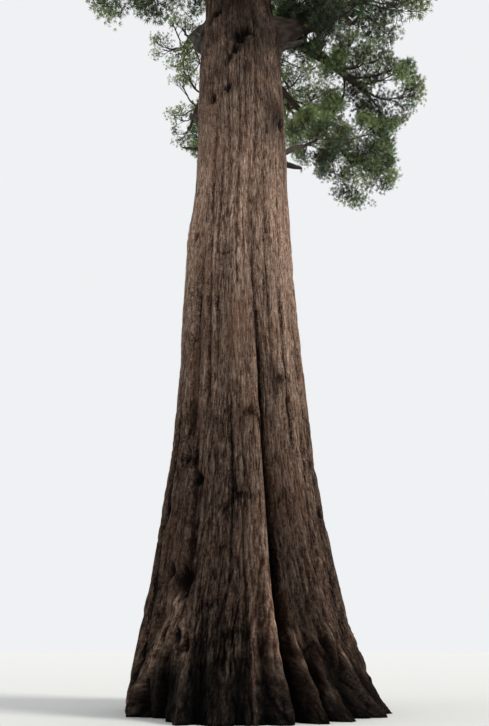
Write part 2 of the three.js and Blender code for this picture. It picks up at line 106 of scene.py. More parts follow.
# the deep seam's centre line: height, azimuth, half width m, depth m
SEAM_LINE = np.array([
    [0.0, 293.0, 0.22, 1.05], [0.4, 292.8, 0.21, 1.04], [0.9, 292.0, 0.20, 1.02], [1.5, 290.5, 0.19, 1.0],
    [2.2, 290.0, 0.19, 0.98], [3.2, 288.6, 0.17, 0.94], [4.2, 288.0, 0.16, 0.90], [5.6, 288.0, 0.15, 0.84],
    [7.1, 287.8, 0.13, 0.74], [8.7, 287.1, 0.115, 0.62], [10.8, 286.2, 0.115, 0.44], [11.7, 286.8, 0.115, 0.37],
    [13.7, 286.1, 0.12, 0.29], [15.7, 284.9, 0.12, 0.21], [16.9, 282.9, 0.12, 0.17], [18.5, 281.2, 0.12, 0.11],
    [20.5, 280.4, 0.11, 0.06], [24.0, 280.0, 0.10, 0.03], [30.0, 281.0, 0.10, 0.0], [83.0, 281.0, 0.10, 0.0]])
# how the fibres lean with the roots: azimuths at these heights of fibres that stand at FIBRES higher up
FIBRES = np.array([180, 190, 214, 236, 246, 275, 281.5, 285.7, 290, 296, 310.5, 332, 350, 360])
LEAN = np.array([
    [0.0, 180, 188, 203, 210, 248, 276, 292.6, 296.8, 302, 315, 335, 345, 353, 360],
    [0.5, 180, 188, 204, 213, 246, 275.8, 291, 295.3, 300.3, 311, 331, 342, 352, 360],
    [1.0, 180, 189, 206, 218, 245.3, 275.6, 288.6, 293.4, 298.3, 308, 325, 339, 351, 360],
    [1.5, 180, 189, 208, 222, 245.3, 275.5, 286.9, 291.3, 296.2, 304, 322, 337, 351, 360],
    [2.1, 180, 190, 211, 228.5, 245.5, 275.3, 285.6, 290.1, 294, 299.5, 319.5, 335, 350, 360],
    [2.8, 180, 190, 213, 233, 246, 275.2, 284.5, 289.1, 292.3, 297.4, 316, 334, 350, 360],
    [3.6, 180, 190, 214, 237, 246, 275, 283.6, 288.2, 291.4, 296.6, 312, 332, 350, 360],
    [5.4, 180, 190, 214, 236, 246, 275, 282.8, 288.0, 291, 296.3, 310.5, 332, 350, 360],
    [9.0, 180, 190, 214, 236, 246, 275, 281.9, 287.0, 290, 296, 310.5, 332, 350, 360],
    [12.0, 180, 190, 214, 236, 246, 275, 281.5, 286.5, 290, 296, 310.5, 332, 350, 360],
    [16.0, 180, 190, 214, 236, 246, 275, 281.0, 284.6, 290, 296, 310.5, 332, 350, 360]])
# other long folds: heights and azimuths of the line, half width m, depth m
FOLDS = [
    ([(11.0, 243.6), (14.0, 242.0), (17.6, 241.4), (21.0, 239.3), (23.4, 236.3), (27.0, 235.6)], 0.10, 0.24),
    ([(9.4, 229.0), (11.1, 228.0), (14.0, 227.3), (16.2, 228.6), (18.6, 230.7)], 0.24, 0.30),
    ([(4.8, 240.6), (7.0, 238.6), (9.5, 234.6)], 0.12, 0.16),
    ([(18.5, 317.0), (22.9, 319.1), (26.6, 320.7)], 0.10, 0.16),
    ([(9.5, 311.1), (13.0, 313.1), (17.0, 312.4)], 0.13, 0.14),
    ([(3.6, 316.5), (5.5, 318.8), (9.5, 326.6)], 0.15, 0.16),
    ([(5.0, 263.6), (7.5, 264.3), (10.5, 262.2)], 0.08, 0.12),
    ([(24.0, 255.0), (30.0, 254.7), (36.0, 251.0)], 0.10, 0.10),
    ([(24.0, 286.0), (30.0, 288.9), (37.0, 290.7)], 0.10, 0.10),
    ([(1.2, 210.7), (4.0, 211.8), (9.0, 212.0), (14.0, 208.3)], 0.16, 0.18),
    ([(0.8, 333.8), (4.0, 334.3), (9.0, 338.1), (15.0, 336.5)], 0.18, 0.20),
    ([(14.0, 250.0), (20.0, 248.5), (26.0, 249.0)], 0.08, 0.09),
    ([(17.0, 268.5), (22.0, 267.5), (29.0, 268.5)], 0.08, 0.09),
    ([(12.0, 298.5), (18.0, 297.0), (25.0, 298.0)], 0.08, 0.10),
    ([(26.0, 276.0), (31.0, 275.0), (35.0, 276.0)], 0.08, 0.08)]
# knots and small hollows: azimuth, height, half width m, half height m, depth m
KNOTS = [
    (233.2, 37.9, 0.30, 0.40, 0.30), (269.2, 34.3, 0.34, 0.62, 0.34), (263.4, 33.2, 0.26, 0.40, 0.22),
    (279.5, 34.9, 0.40, 0.34, 0.32), (256.5, 32.6, 0.16, 0.34, 0.16), (226.0, 37.6, 0.16, 0.26, 0.16),
    (231.1, 29.7, 0.22, 0.42, 0.20), (253.5, 30.1, 0.22, 0.36, 0.22), (326.7, 28.1, 0.22, 0.30, 0.18),
    (303.1, 27.0, 0.13, 0.20, 0.10), (218.1, 20.0, 0.20, 0.30, 0.14), (283.6, 21.7, 0.20, 0.28, 0.08),
    (257.8, 18.35, 0.34, 0.10, 0.07), (223.4, 14.1, 0.10, 0.16, 0.14), (226.6, 8.57, 0.19, 0.30, 0.42),
    (238.3, 7.64, 0.22, 0.28, 0.38), (222.8, 10.98, 0.09, 0.12, 0.14), (227.5, 15.6, 0.10, 0.16, 0.14), (209.2, 5.87, 0.22, 0.34, 0.30), (237.5, 4.0, 0.32, 0.44, 0.50),
    (228.0, 4.4, 0.18, 0.26, 0.26), (265.8, 7.1, 0.13, 0.20, 0.10), (237.9, 2.33, 0.12, 0.20, 0.24), (243.8, 2.05, 0.14, 0.18, 0.24),
    (302.9, 12.0, 0.22, 0.20, 0.08), (20.0, 8.2, 0.25, 0.40, 0.25), (64.0, 15.4, 0.22, 0.36, 0.20),
    (97.0, 5.1, 0.32, 0.50, 0.35), (140.0, 21.0, 0.24, 0.34, 0.20), (121.0, 30.5, 0.28, 0.44, 0.24),
    (78.0, 26.0, 0.22, 0.32, 0.18), (158.0, 11.2, 0.20, 0.32, 0.22), (40.0, 33.0, 0.26, 0.40, 0.22)]
# burls: azimuth, height, half width deg, half height m, height above the bark m
BURLS = [(324.8, 29.3, 8, 1.0, 0.28), (306, 28.2, 6, 0.8, 0.14), (215, 33.4, 7, 0.9, 0.12), (72, 29.5, 9, 1.1, 0.22),
         (146, 25.0, 8, 0.9, 0.18), (186, 21.2, 6, 1.1, 0.10)]
# narrow root ridges and hollows that fan out at the foot: heights and azimuths of the line, half width m, height m, fade m
ROOTS = [
    ([(0, 210), (0.5, 212.3), (1.0, 217.8), (1.5, 222), (2.1, 228.5), (2.7, 232.6), (3.3, 235.4), (3.8, 238.8)], 0.19, 0.30, 3.4),
    ([(0, 196), (0.6, 199), (1.6, 206), (3.0, 211)], 0.20, 0.14, 2.4), ([(0, 203), (0.8, 208), (2.0, 216)], 0.16, -0.16, 1.8),
    ([(0, 230), (0.6, 231), (1.2, 235), (2.0, 241)], 0.50, -0.62, 1.25), ([(0, 224), (0.7, 225), (1.4, 229)], 0.12, 0.18, 1.2),
    ([(0, 247.5), (0.6, 245.8), (1.4, 245), (2.4, 245.6)], 0.15, 0.34, 1.9), ([(0, 254), (1.0, 252.5), (2.4, 251)], 0.22, -0.14, 1.6),
    ([(0, 262), (1.0, 263), (2.4, 264)], 0.22, 0.10, 2.0), ([(0, 269.5), (1.0, 270), (2.4, 271)], 0.13, -0.12, 2.0),
    ([(0, 275.8), (0.9, 274.9), (2.0, 275.4), (3.1, 274.8)], 0.07, 0.08, 3.6), ([(0, 280), (1.0, 280), (2.4, 279)], 0.13, -0.14, 1.8),
    ([(0, 292.4), (0.5, 290.8), (1.1, 288.0), (1.9, 285.7), (2.8, 284.3), (4.0, 283.2)], 0.15, 0.18, 4.4),
    ([(0, 301), (0.65, 299.2), (1.06, 297.8), (1.7, 296), (2.5, 294.2), (3.7, 293)], 0.15, 0.36, 2.6),
    ([(0, 306), (0.6, 303.5), (1.2, 301.2), (2.4, 298)], 0.15, -0.36, 1.9),
    ([(0, 313.5), (0.37, 311.5), (0.75, 308.6), (1.64, 305.8), (2.6, 303)], 0.17, 0.30, 2.0),
    ([(0, 322), (0.5, 319.5), (1.2, 315.5), (2.4, 310)], 0.22, -0.38, 1.8),
    ([(0, 334), (0.47, 331), (0.86, 326), (1.63, 321.8), (2.74, 317.5), (4.3, 311)], 0.20, 0.28, 2.8),
    ([(0, 341), (1.0, 336), (2.2, 331)], 0.22, -0.26, 1.8), ([(0, 349), (1.2, 344), (3.0, 340)], 0.22, 0.22, 2.2),
    ([(0, 357), (1.5, 355)], 0.2, -0.2, 1.7), ([(0, 6), (1.5, 3)], 0.25, 0.24, 1.9), ([(0, 17), (1.5, 18)], 0.22, -0.24, 1.6),
    ([(0, 31), (1.5, 29)], 0.25, 0.26, 2.0), ([(0, 50), (1.5, 48)], 0.22, -0.28, 1.7), ([(0, 64), (1.5, 67)], 0.25, 0.26, 2.0),
    ([(0, 80), (1.5, 81)], 0.22, -0.26, 1.6), ([(0, 92), (1.5, 94)], 0.25, 0.28, 2.2), ([(0, 110), (1.5, 107)], 0.22, -0.3, 1.8),
    ([(0, 122), (1.5, 126)], 0.25, 0.24, 2.0), ([(0, 143), (1.5, 141)], 0.22, -0.26, 1.7), ([(0, 157), (1.5, 160)], 0.25, 0.22, 1.8),
    ([(0, 176), (1.5, 177)], 0.2, -0.2, 1.6), ([(0, 186), (1.5, 188)], 0.2, 0.16, 1.6)]
# broken edges of outer bark plates: azimuth, height, half length deg, drop m over that length, step m
PLATES = [(278, 10.35, 8.5, -0.38, 0.26), (265, 2.35, 12, 0.15, 0.05), (262, 1.65, 14, 0.0, 0.05),
          (305.6, 1.95, 9, -0.2, 0.10), (252.7, 3.3, 7, 0.2, 0.07), (295.3, 6.9, 5, 0.3, 0.07), (233.4, 6.0, 6, 0.2, 0.06),
          (263, 5.0, 6, -0.3, 0.06), (268, 6.9, 10, 0.25, 0.10), (60, 2.4, 14, 0.1, 0.09), (130, 3.4, 12, 0.2, 0.08),
          (100, 9.0, 9, -0.3, 0.1), (20, 5.8, 8, 0.2, 0.08), (160, 14.0, 8, 0.3, 0.08), (40, 20.0, 8, -0.3, 0.08)]
# patches of painted light and painted shade, partly the bark's own lighter and darker places: azimuth, height, half
# width deg, half height m, amount
LIGHT_AND_SHADE_PATCHES = [
    (238, 34.6, 9.0, 1.2, 0.60), (327, 31.6, 8.0, 2.2, 0.25), (309, 28.6, 6.0, 0.8, -0.25), (300, 36.0, 14.0, 0.8, -0.45),
    (300, 34.8, 10.0, 0.9, -0.22), (274, 34.3, 7.0, 0.8, -0.40), (311, 3.0, 13.0, 1.2, -0.24), (297, 18.2, 9.0, 3.0, -0.13), (281, 18.0, 5.0, 2.2, -0.12),
    (292, 12.5, 4.5, 2.2, -0.14), (322, 29.2, 9.0, 1.3, -0.26), (253.5, 30.2, 4.0, 0.6, -0.20),
    (262, 22.0, 4.5, 9.0, -0.20), (292, 23.0, 4.5, 8.0, -0.20), (338, 29.0, 8.0, 5.0, -0.32), (212, 10.0, 5.0, 3.0, -0.32),
    (246, 7.5, 7.0, 2.6, -0.30), (258, 4.0, 8.0, 0.8, -0.20), (329, 6.5, 6.0, 1.6, 0.32), (301, 3.2, 6.0, 1.4, -0.32),
    (305, 17.0, 5.0, 5.0, -0.16), (245, 2.2, 5.0, 0.5, 0.55), (240, 3.0, 3.0, 0.8, 0.40), (216, 2.0, 4.0, 0.5, 0.45),
    (300.9, 11.85, 4.5, 0.36, -0.45), (232, 2.3, 5, 0.8, 0.35), (219, 1.2, 4, 0.5, 0.30), (258, 1.8, 11, 1.0, -0.18), (350, 38.2, 12, 2.0, -0.60), (318, 28.5, 12, 1.0, -0.58), (275, 40.5, 26, 3.5, -0.35), (280, 33.3, 18, 1.8, -0.22), (318, 1.9, 5.0, 0.5, -0.25), (312, 1.3, 14, 1.0, -0.30),
    (261, 2.5, 12, 0.85, -0.50), (257, 0.7, 13, 0.9, -0.60), (231, 0.8, 8, 0.8, -0.80), (302, 11.9, 6, 0.5, -0.40),
    (314, 0.9, 6, 0.9, -0.60), (295.5, 5.2, 6, 3.2, -0.30), (231, 14.0, 3.2, 3.2, -0.40), (237, 2.7, 3.0, 0.9, 0.65),
    (226, 1.9, 3.5, 0.8, 0.70), (215, 1.1, 3.5, 0.8, 0.5), (280.6, 6.4, 3.2, 3.6, 0.45), (283.6, 2.2, 2.6, 1.6, 0.60),
    (258, 18.6, 5, 0.5, -0.20), (300, 27.5, 14, 1.3, -0.22), (325, 28.8, 7, 1.2, -0.40), (262, 38.0, 30, 2.0, -0.40),
    (269, 34.2, 8, 1.2, -0.30), (231, 29.9, 5, 0.8, -0.25), (311, 9.5, 14, 6.5, 0.45), (256, 24.0, 12, 4.0, 0.06),
    (238, 4.2, 5, 0.8, -0.50), (245.5, 1.1, 1.8, 0.8, 0.9), (298, 1.2, 2.0, 1.2, 0.8), (290, 13.0, 6, 1.2, -0.15),
    (222.8, 19.8, 4, 1.0, -0.22), (275.2, 1.7, 0.9, 1.5, 0.6), (307.5, 1.1, 2.2, 0.8, 0.7), (322, 2.4, 4, 1.8, 0.55),
    (301.5, 1.0, 3.0, 1.2, -0.5), (250, 15.0, 5.0, 6.0, -0.16), (290, 21.0, 8.0, 6.0, 0.12), (218, 8.0, 8.0, 5.0, -0.15)]
# painted light and shade with height: the bark is darkened towards the foot and under the lowest boughs, where shade
# falls, and is lightest at about 20 m
PAINTED_SHADE_BY_HEIGHT = np.array([[0, 0.055], [0.5, 0.066], [1.1, 0.108], [2.2, 0.345], [3.2, 0.39], [5, 0.40], [7, 0.47], [9.5, 0.66],
                 [12, 0.94], [16, 1.24], [20, 1.53], [24, 1.47], [28, 1.11], [32, 0.67], [36, 0.46], [40, 0.50], [44, 0.8],
                 [50, 0.9], [83, 0.95]])


# ---------------------------------------------------------------- helpers
def turn(a, b):
    return ((a - b) % 360 + 540) % 360 - 180


def bell(x, w):
    return np.exp(-0.5 * (x / w) ** 2)


def smooth(x, a, b):
    t = np.clip((x - a) / (b - a), 0, 1)
    return t * t * (3 - 2 * t)


def unit(v):
    return v / np.maximum(np.linalg.norm(v, axis=-1, keepdims=True), 1e-9)


def profile(z):
    return np.interp(z, TRUNK_PROFILE[:, 0], TRUNK_PROFILE[:, 1])


def axis_at(z):
    return np.stack([np.interp(z, TRUNK_AXIS[:, 0], TRUNK_AXIS[:, 1]), np.interp(z, TRUNK_AXIS[:, 0], TRUNK_AXIS[:, 2]),
                     np.asarray(z, float) + 0.0], -1)


def outward(az):
    a = np.radians(az)
    return np.stack([np.cos(a), np.sin(a), np.zeros_like(a)], -1)


def trunk_radius(az, z, seam=True):
    """Radius of the trunk without its bark relief."""
    az, z = np.asarray(az, float), np.asarray(z, float)
    r = profile(z)
    for a, swell, width, fade in BUTTRESSES:
        r = r + swell * bell(turn(az, a), width) * np.exp(-z / fade)
    for a, depth, width, fade in HOLLOWS:
        r = r - depth * bell(turn(az, a), width) * np.exp(-z / fade)
    flute = np.clip(r / 4, 0, 1) * 0.05
    r = r + flute * (np.sin(np.radians(5 * az + 40 + 3 * z)) + 0.7 * np.sin(np.radians(8 * az + 200 - 2 * z)))
    if seam:
        r = r - SEAM_DEPTH * bell(turn(az, SEAM_AZIMUTH), 2.6) * (0.12 + 0.88 * np.exp(-((z / SEAM_REACH) ** 1.6))) \
            * np.clip(1 - (z - 22) / 16, 0, 1)
    return np.maximum(r, 0.05)


def waves(seed):
    """The same uneven swelling over directions that the solid masses have."""
    s = seed * 7919 + 13.0

    def following():
        nonlocal s
        s = (s * 1103515245.0 + 12345.0) % 2147483648.0
        return s / 2147483648.0

    for _ in range(5):
        following()
    rows = []
    for i in range(9):
        u = following() * 2 - 1
        a = following() * 2 * math.pi
        k = 2.2 if i < 4 else 4.6
        q = math.sqrt(1 - u * u)
        rows.append((k * q * math.cos(a), k * q * math.sin(a), k * u, following() * 2 * math.pi, 0.09 if i < 4 else 0.055))
    rows = np.array(rows)

    def value(d):
        return (rows[:, 4] * np.sin(d @ rows[:, :3].T + rows[:, 3])).sum(-1)

    return value


def drift(u, v, across, seed, along=512):
    """Soft noise, about -1 to 1, over a sheet that closes on itself after `across` cells of u."""
    rng = np.random.default_rng(seed)
    angle = rng.random((across, along)) * TAU
    gx, gy = np.cos(angle), np.sin(angle)
    iu, iv = np.floor(u).astype(int), np.floor(v).astype(int)
    fu, fv = u - iu, v - iv
    su, sv = fu ** 3 * (fu * (fu * 6 - 15) + 10), fv ** 3 * (fv * (fv * 6 - 15) + 10)

    def corner(a, b):
        i, j = (iu + a) % across, (iv + b) % along
        return gx[i, j] * (fu - a) + gy[i, j] * (fv - b)

    low = corner(0, 0) * (1 - su) + corner(1, 0) * su
    high = corner(0, 1) * (1 - su) + corner(1, 1) * su
    return (low * (1 - sv) + high * sv) * 1.5


def ridges(u, v, across, seed, along=512, jitter=0.95):
    """Cells of a jittered grid that closes after `across` cells: distance in from the cell's edge, and a number for the cell."""
    rng = np.random.default_rng(seed)
    px, py, tag = rng.random((across, along)), rng.random((across, along)), rng.random((across, along))
    iu, iv = np.floor(u).astype(int), np.floor(v).astype(int)
    first, second, own = np.full(u.shape, 9.0), np.full(u.shape, 9.0), np.zeros(u.shape)
    for a in (-1, 0, 1):
        for b in (-1, 0, 1):
            i, j = (iu + a) % across, (iv + b) % along
            dx = iu + a + 0.5 + (px[i, j] - 0.5) * jitter - u
            dy = iv + b + 0.5 + (py[i, j] - 0.5) * jitter - v
            d = np.sqrt(dx * dx + dy * dy)
            nearer = d < first
            second = np.where(nearer, first, np.minimum(second, d))
            own = np.where(nearer, tag[i, j], own)
            first = np.where(nearer, d, first)
    return second - first, own


# ---------------------------------------------------------------- meshes
def new_mesh(name, points, faces, materials, index=None, shade=True, values=None):
    """One piece from arrays: points in metres of the living tree, faces of three or four corners."""
    me = bpy.data.meshes.new(name)
    me.vertices.add(len(points))
    me.vertices.foreach_set("co", (np.asarray(points) * K).astype(np.float32).ravel())
    corners = faces.shape[1]
    me.loops.add(len(faces) * corners)
    me.loops.foreach_set("vertex_index", faces.astype(np.int32).ravel())
    me.polygons.add(len(faces))
    me.polygons.foreach_set("loop_start", np.arange(0, len(faces) * corners, corners, dtype=np.int32))
    for m in materials:
        me.materials.append(m)
    if index is not None:
        me.polygons.foreach_set("material_index", index.astype(np.int32))
    me.update(calc_edges=True)
    me.polygons.foreach_set("use_smooth", np.full(len(faces), shade))
    for key, data in (values or {}).items():
        data = np.asarray(data, np.float32)
        attribute = me.attributes.new(key, "FLOAT" if data.ndim == 1 else "FLOAT_VECTOR", "POINT")
        attribute.data.foreach_set("value" if data.ndim == 1 else "vector", data.ravel())
    me.validate()
    me.update()
    ob = bpy.data.objects.new(name, me)
    bpy.context.scene.collection.objects.link(ob)
    return ob


def hand_over(ob, nodes):
    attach(ob, "root")
    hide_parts(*nodes)


class Heap:
    """Collects shapes that are joined into one piece."""

    def __init__(self):
        self.points, self.faces, self.values, self.index, self.count = [], [], {}, [], 0

    def add(self, points, faces, index=None, **values):
        self.points.append(points)
        self.faces.append(faces + self.count)
        self.count += len(points)
        for key, data in values.items():
            self.values.setdefault(key, []).append(np.asarray(data).ravel())
        if index is not None:
            self.index.append(index)

    def piece(self, name, materials, shade=True):
        return new_mesh(name, np.concatenate(self.points), np.concatenate(self.faces), materials,
                        np.concatenate(self.index) if self.index else None, shade,
                        {k: np.concatenate(v) for k, v in self.values.items()})


# ---------------------------------------------------------------- materials
class Nodes:
    def __init__(self, name):
        self.material = bpy.data.materials.new(name)
        self.material.use_nodes = True
        self.tree = self.material.node_tree
        self.tree.nodes.clear()
        self.out = self.node("ShaderNodeOutputMaterial")
        self.shader = self.node("ShaderNodeBsdfPrincipled")
        self.link(self.shader, 0, self.out, 0)

    def node(self, kind, **settings):
        n = self.tree.nodes.new(kind)
        for k, v in settings.items():
            setattr(n, k, v)
        return n

    def link(self, a, i, b, j):
        self.tree.links.new(a.outputs[i], b.inputs[j])

    def noise(self, scale, detail=4, roughness=0.55, distortion=0.0, size=1.0, along=None):
        where = self.node("ShaderNodeAttribute", attribute_name=along) if along else self.node("ShaderNodeTexCoord")
        mapping = self.node("ShaderNodeMapping")
        mapping.inputs["Scale"].default_value = scale
        n = self.node("ShaderNodeTexNoise")
        n.inputs["Scale"].default_value = size
        n.inputs["Detail"].default_value = detail
        n.inputs["Roughness"].default_value = roughness
        n.inputs["Distortion"].default_value = distortion
        self.link(where, "Vector" if along else "Object", mapping, "Vector")
        self.link(mapping, "Vector", n, "Vector")
        return n

    def attribute(self, name):
        return self.node("ShaderNodeAttribute", attribute_name=name)

    def math(self, operation, a, b=None, c=None, clamp=False):
        n = self.node("ShaderNodeMath", operation=operation, use_clamp=clamp)
        for i, v in enumerate((a, b, c)):
            if v is None:
                continue
            if isinstance(v, (int, float)):
                n.inputs[i].default_value = v
            else:
                self.tree.links.new(v, n.inputs[i])
        return n.outputs[0]

    def ramp(self, value, stops):
        n = self.node("ShaderNodeValToRGB")
        while len(n.color_ramp.elements) < len(stops):
            n.color_ramp.elements.new(0.5)
        for e, (at, colour) in zip(n.color_ramp.elements, stops):
            e.position = at
            e.color = (*colour, 1)
        self.tree.links.new(value, n.inputs[0])
        return n.outputs[0]

    def mix(self, a, b, share, blend="MIX"):
        n = self.node("ShaderNodeMix", data_type="RGBA", blend_type=blend)
        for socket, v in ((n.inputs[0], share), (n.inputs[6], a), (n.inputs[7], b)):
            if isinstance(v, (int, float)):
                socket.default_value = v
            elif isinstance(v, tuple):
                socket.default_value = (*v, 1)
            else:
                self.tree.links.new(v, socket)
        return n.outputs[2]

    def bump(self, height, strength, distance):
        n = self.node("ShaderNodeBump")
        n.inputs["Strength"].default_value = strength
        n.inputs["Distance"].default_value = distance
        self.tree.links.new(height, n.inputs["Height"])
        self.link(n, "Normal", self.shader, "Normal")
        return n


def bark_material():
    """Soft fibrous bark: pale weathered ridges and cinnamon fibre, with painted shade in its crevices and furrows,
    darkened near the ground by charred bark and by painted shade in front.
    """
    m = Nodes("sequoia_bark")
    furrow, tone_and_painted_light, char_and_shade = m.attribute("furrow"), m.attribute("tone_and_painted_light"), m.attribute("char_and_shade")
    fibre = m.noise((27, 27, 4.6), 6, 0.70, 0.3, along="grain")
    thread = m.noise((85, 85, 8.0), 3, 0.6, along="grain")
    speck = m.noise((40, 40, 22), 3, 0.65, 0.2, along="grain")
    patch = m.noise((1.7, 1.7, 0.6), 4, 0.55, along="grain")
    strip = m.noise((8, 8, 1.1), 5, 0.62, 0.4, along="grain")
    vein = m.noise((20, 20, 1.9), 4, 0.6, 0.5, along="grain")
    blotch = m.noise((4.5, 4.5, 2.4), 4, 0.6, 0.3, along="grain")
    # thin cracks where a stretched noise crosses its middle
    crack = m.math("SUBTRACT", 1.0, m.math("MULTIPLY", m.math("ABSOLUTE", m.math("SUBTRACT", vein.outputs[0], 0.5)), 14.0), clamp=True)
    crack = m.math("MULTIPLY", crack, m.math("MULTIPLY", m.math("SUBTRACT", strip.outputs[0], 0.30, clamp=True), 2.4))
    # the colour darkens with depth into the fibre, cracks and furrows: painted shade in these crevices, over the bark's
    # own pale ridges and cinnamon fibre
    depth = m.math("MULTIPLY_ADD", fibre.outputs[0], 1.75, m.math("MULTIPLY", furrow.outputs["Fac"], 0.62))
    depth = m.math("MULTIPLY_ADD", crack, 0.30, depth)
    depth = m.math("MULTIPLY_ADD", blotch.outputs[0], 0.28, depth)
    depth = m.math("MULTIPLY_ADD", speck.outputs[0], 1.15, depth)
    depth = m.math("MULTIPLY_ADD", strip.outputs[0], 0.34, m.math("SUBTRACT", depth, 1.48), clamp=True)
    # the contrast grows with charring and with painted shade
    strong = m.math("MULTIPLY_ADD", char_and_shade.outputs["Fac"], 1.6, 1.0)
    depth = m.math("MULTIPLY_ADD", m.math("SUBTRACT", depth, 0.46), strong, 0.46, clamp=True)
    colour = m.ramp(depth, [(0.0, (0.390, 0.300, 0.238)), (0.24, (0.265, 0.184, 0.138)), (0.48, (0.150, 0.094, 0.067)),
                            (0.72, (0.058, 0.032, 0.022)), (0.95, (0.009, 0.006, 0.005))])
    warm = m.mix(colour, (0.205, 0.104, 0.060), m.math("MULTIPLY", m.math("SUBTRACT", patch.outputs[0], 0.47, clamp=True), 1.4))
    grey = m.mix(warm, (0.215, 0.188, 0.160), m.math("MULTIPLY", m.math("SUBTRACT", vein.outputs[0], 0.54, clamp=True), 1.0))
    # near black with charring, and with painted shade at the foot in front and in hollows
    dark = m.mix(grey, (0.008, 0.006, 0.006), m.math("MULTIPLY", char_and_shade.outputs["Fac"], 0.88))
    # colour times the lightness from the trunk: painted light and shade with height, on the roots and in patches, over
    # the bark's own changes of lightness
    lit = m.mix(dark, tone_and_painted_light.outputs["Color"], 1.0, "MULTIPLY")
    m.tree.links.new(lit, m.shader.inputs["Base Color"])
    rough = m.math("MULTIPLY_ADD", fibre.outputs[0], 0.16, 0.80)
    m.tree.links.new(rough, m.shader.inputs["Roughness"])
    m.shader.inputs["Specular IOR Level"].default_value = 0.06
    height = m.math("MULTIPLY_ADD", speck.outputs[0], 0.50, m.math("MULTIPLY", thread.outputs[0], 0.30))
    height = m.math("ADD", height, m.math("SUBTRACT", fibre.outputs[0], m.math("MULTIPLY", crack, 0.35)))
    m.bump(height, 1.0, 0.05)
    return m.material


def limb_material(name, light, middle, deep, stretch, fine):
    """Bark of the limbs, in flakes and furrows along their own direction, with painted shade in the furrows."""
    m = Nodes(name)
    furrow = m.attribute("furrow")
    flake = m.noise(stretch, 4, 0.6, 0.6)
    speck = m.noise(fine, 4, 0.65)
    depth = m.math("MULTIPLY_ADD", flake.outputs[0], 0.6, m.math("MULTIPLY", furrow.outputs["Fac"], 0.7))
    depth = m.math("SUBTRACT", m.math("MULTIPLY_ADD", speck.outputs[0], 0.3, depth), 0.30, clamp=True)
    colour = m.ramp(depth, [(0.0, light), (0.5, middle), (1.0, deep)])
    m.tree.links.new(colour, m.shader.inputs["Base Color"])
    rough = m.math("MULTIPLY_ADD", flake.outputs[0], 0.2, 0.74)
    m.tree.links.new(rough, m.shader.inputs["Roughness"])
    m.shader.inputs["Specular IOR Level"].default_value = 0.25
    m.bump(m.math("ADD", flake.outputs[0], m.math("MULTIPLY", speck.outputs[0], 0.6)), 0.6, 0.02)
    return m.material


def leaf_material(name, colour):
    """Scale leaves on their cordlets: one plain colour for each step of painted light and shade on the sprays, and one
    for browned sprays.
    """
    m = Nodes(name)
    m.shader.inputs["Base Color"].default_value = (*colour, 1)
    m.shader.inputs["Roughness"].default_value = 0.62
    m.shader.inputs["Specular IOR Level"].default_value = 0.35
    return m.material


BARK = bark_material()
# bark of boughs and branches darkened as painted shade, for limbs that stand in the crown's shade
SHADED_BOUGH_BARK = limb_material("sequoia_bough_bark_painted_shade", (0.062, 0.044, 0.034), (0.033, 0.021, 0.015), (0.008, 0.005, 0.004), (16, 16, 16), (60, 60, 60))
DEAD_WOOD = limb_material("sequoia_dead_wood", (0.075, 0.064, 0.056), (0.036, 0.029, 0.025), (0.009, 0.007, 0.006), (14, 14, 14), (50, 50, 50))
TWIG_BARK = limb_material("sequoia_twig_bark", (0.075, 0.054, 0.038), (0.045, 0.030, 0.020), (0.020, 0.013, 0.009), (9, 9, 9), (40, 40, 40))
# five greens from painted shade to painted light, and a browned one
GREENS_SHADED_TO_LIT = [leaf_material("sequoia_leaf_%d" % (i + 1), c) for i, c in enumerate([
    (0.016, 0.027, 0.013), (0.040, 0.066, 0.028), (0.084, 0.130, 0.050), (0.150, 0.215, 0.080),
    (0.270, 0.345, 0.135), (0.170, 0.130, 0.062)])]


# ---------------------------------------------------------------- trunk
def seam_cut(az, z, r):
    """Depth of the deep seam: steep on the left, drawn out on the right; and the painted shade in its opening."""
    x = np.radians(turn(az, np.interp(z, SEAM_LINE[:, 0], SEAM_LINE[:, 1]))) * r
    w, d = np.interp(z, SEAM_LINE[:, 0], SEAM_LINE[:, 2]), np.interp(z, SEAM_LINE[:, 0], SEAM_LINE[:, 3])
    left = np.exp(-(np.abs(x) / w) ** 1.5)
    right = 0.74 * np.exp(-(np.abs(x) / (1.1 * w)) ** 1.5) + 0.26 * np.exp(-(np.abs(x) / (4.4 * w)) ** 2)
    cut = np.where(x < 0, left, right)
    lip = 0.15 * bell(x + 2.6 * w, 1.5 * w) * np.clip(d / 0.6, 0, 1)
    dark = np.clip(d / 0.3, 0, 1) * np.interp(z, [8.5, 11, 14, 18], [1.0, 0.74, 0.68, 0.62])
    return d * cut - lip, np.exp(-(np.abs(x) / (1.05 * w)) ** 2) * dark


def grain_of(az, z):
    """Azimuth that the fibre through each point has higher up. Rows of the arrays share one height."""
    grain = np.empty_like(az)
    for i in range(len(az)):
        h = z[i, 0]
        here = np.array([np.interp(h, LEAN[:, 0], LEAN[:, k + 1]) for k in range(len(FIBRES))])
        back = az[i] < 180
        grain[i] = np.where(back, az[i], np.interp(az[i], here, FIBRES))
    fade = np.exp(-z / 2.4)
    return grain + fade * (3.0 * np.sin(np.radians(7 * az + 30)) + 1.6 * np.sin(np.radians(13 * az + 80))) * (az < 180) * np.sin(np.radians(az))


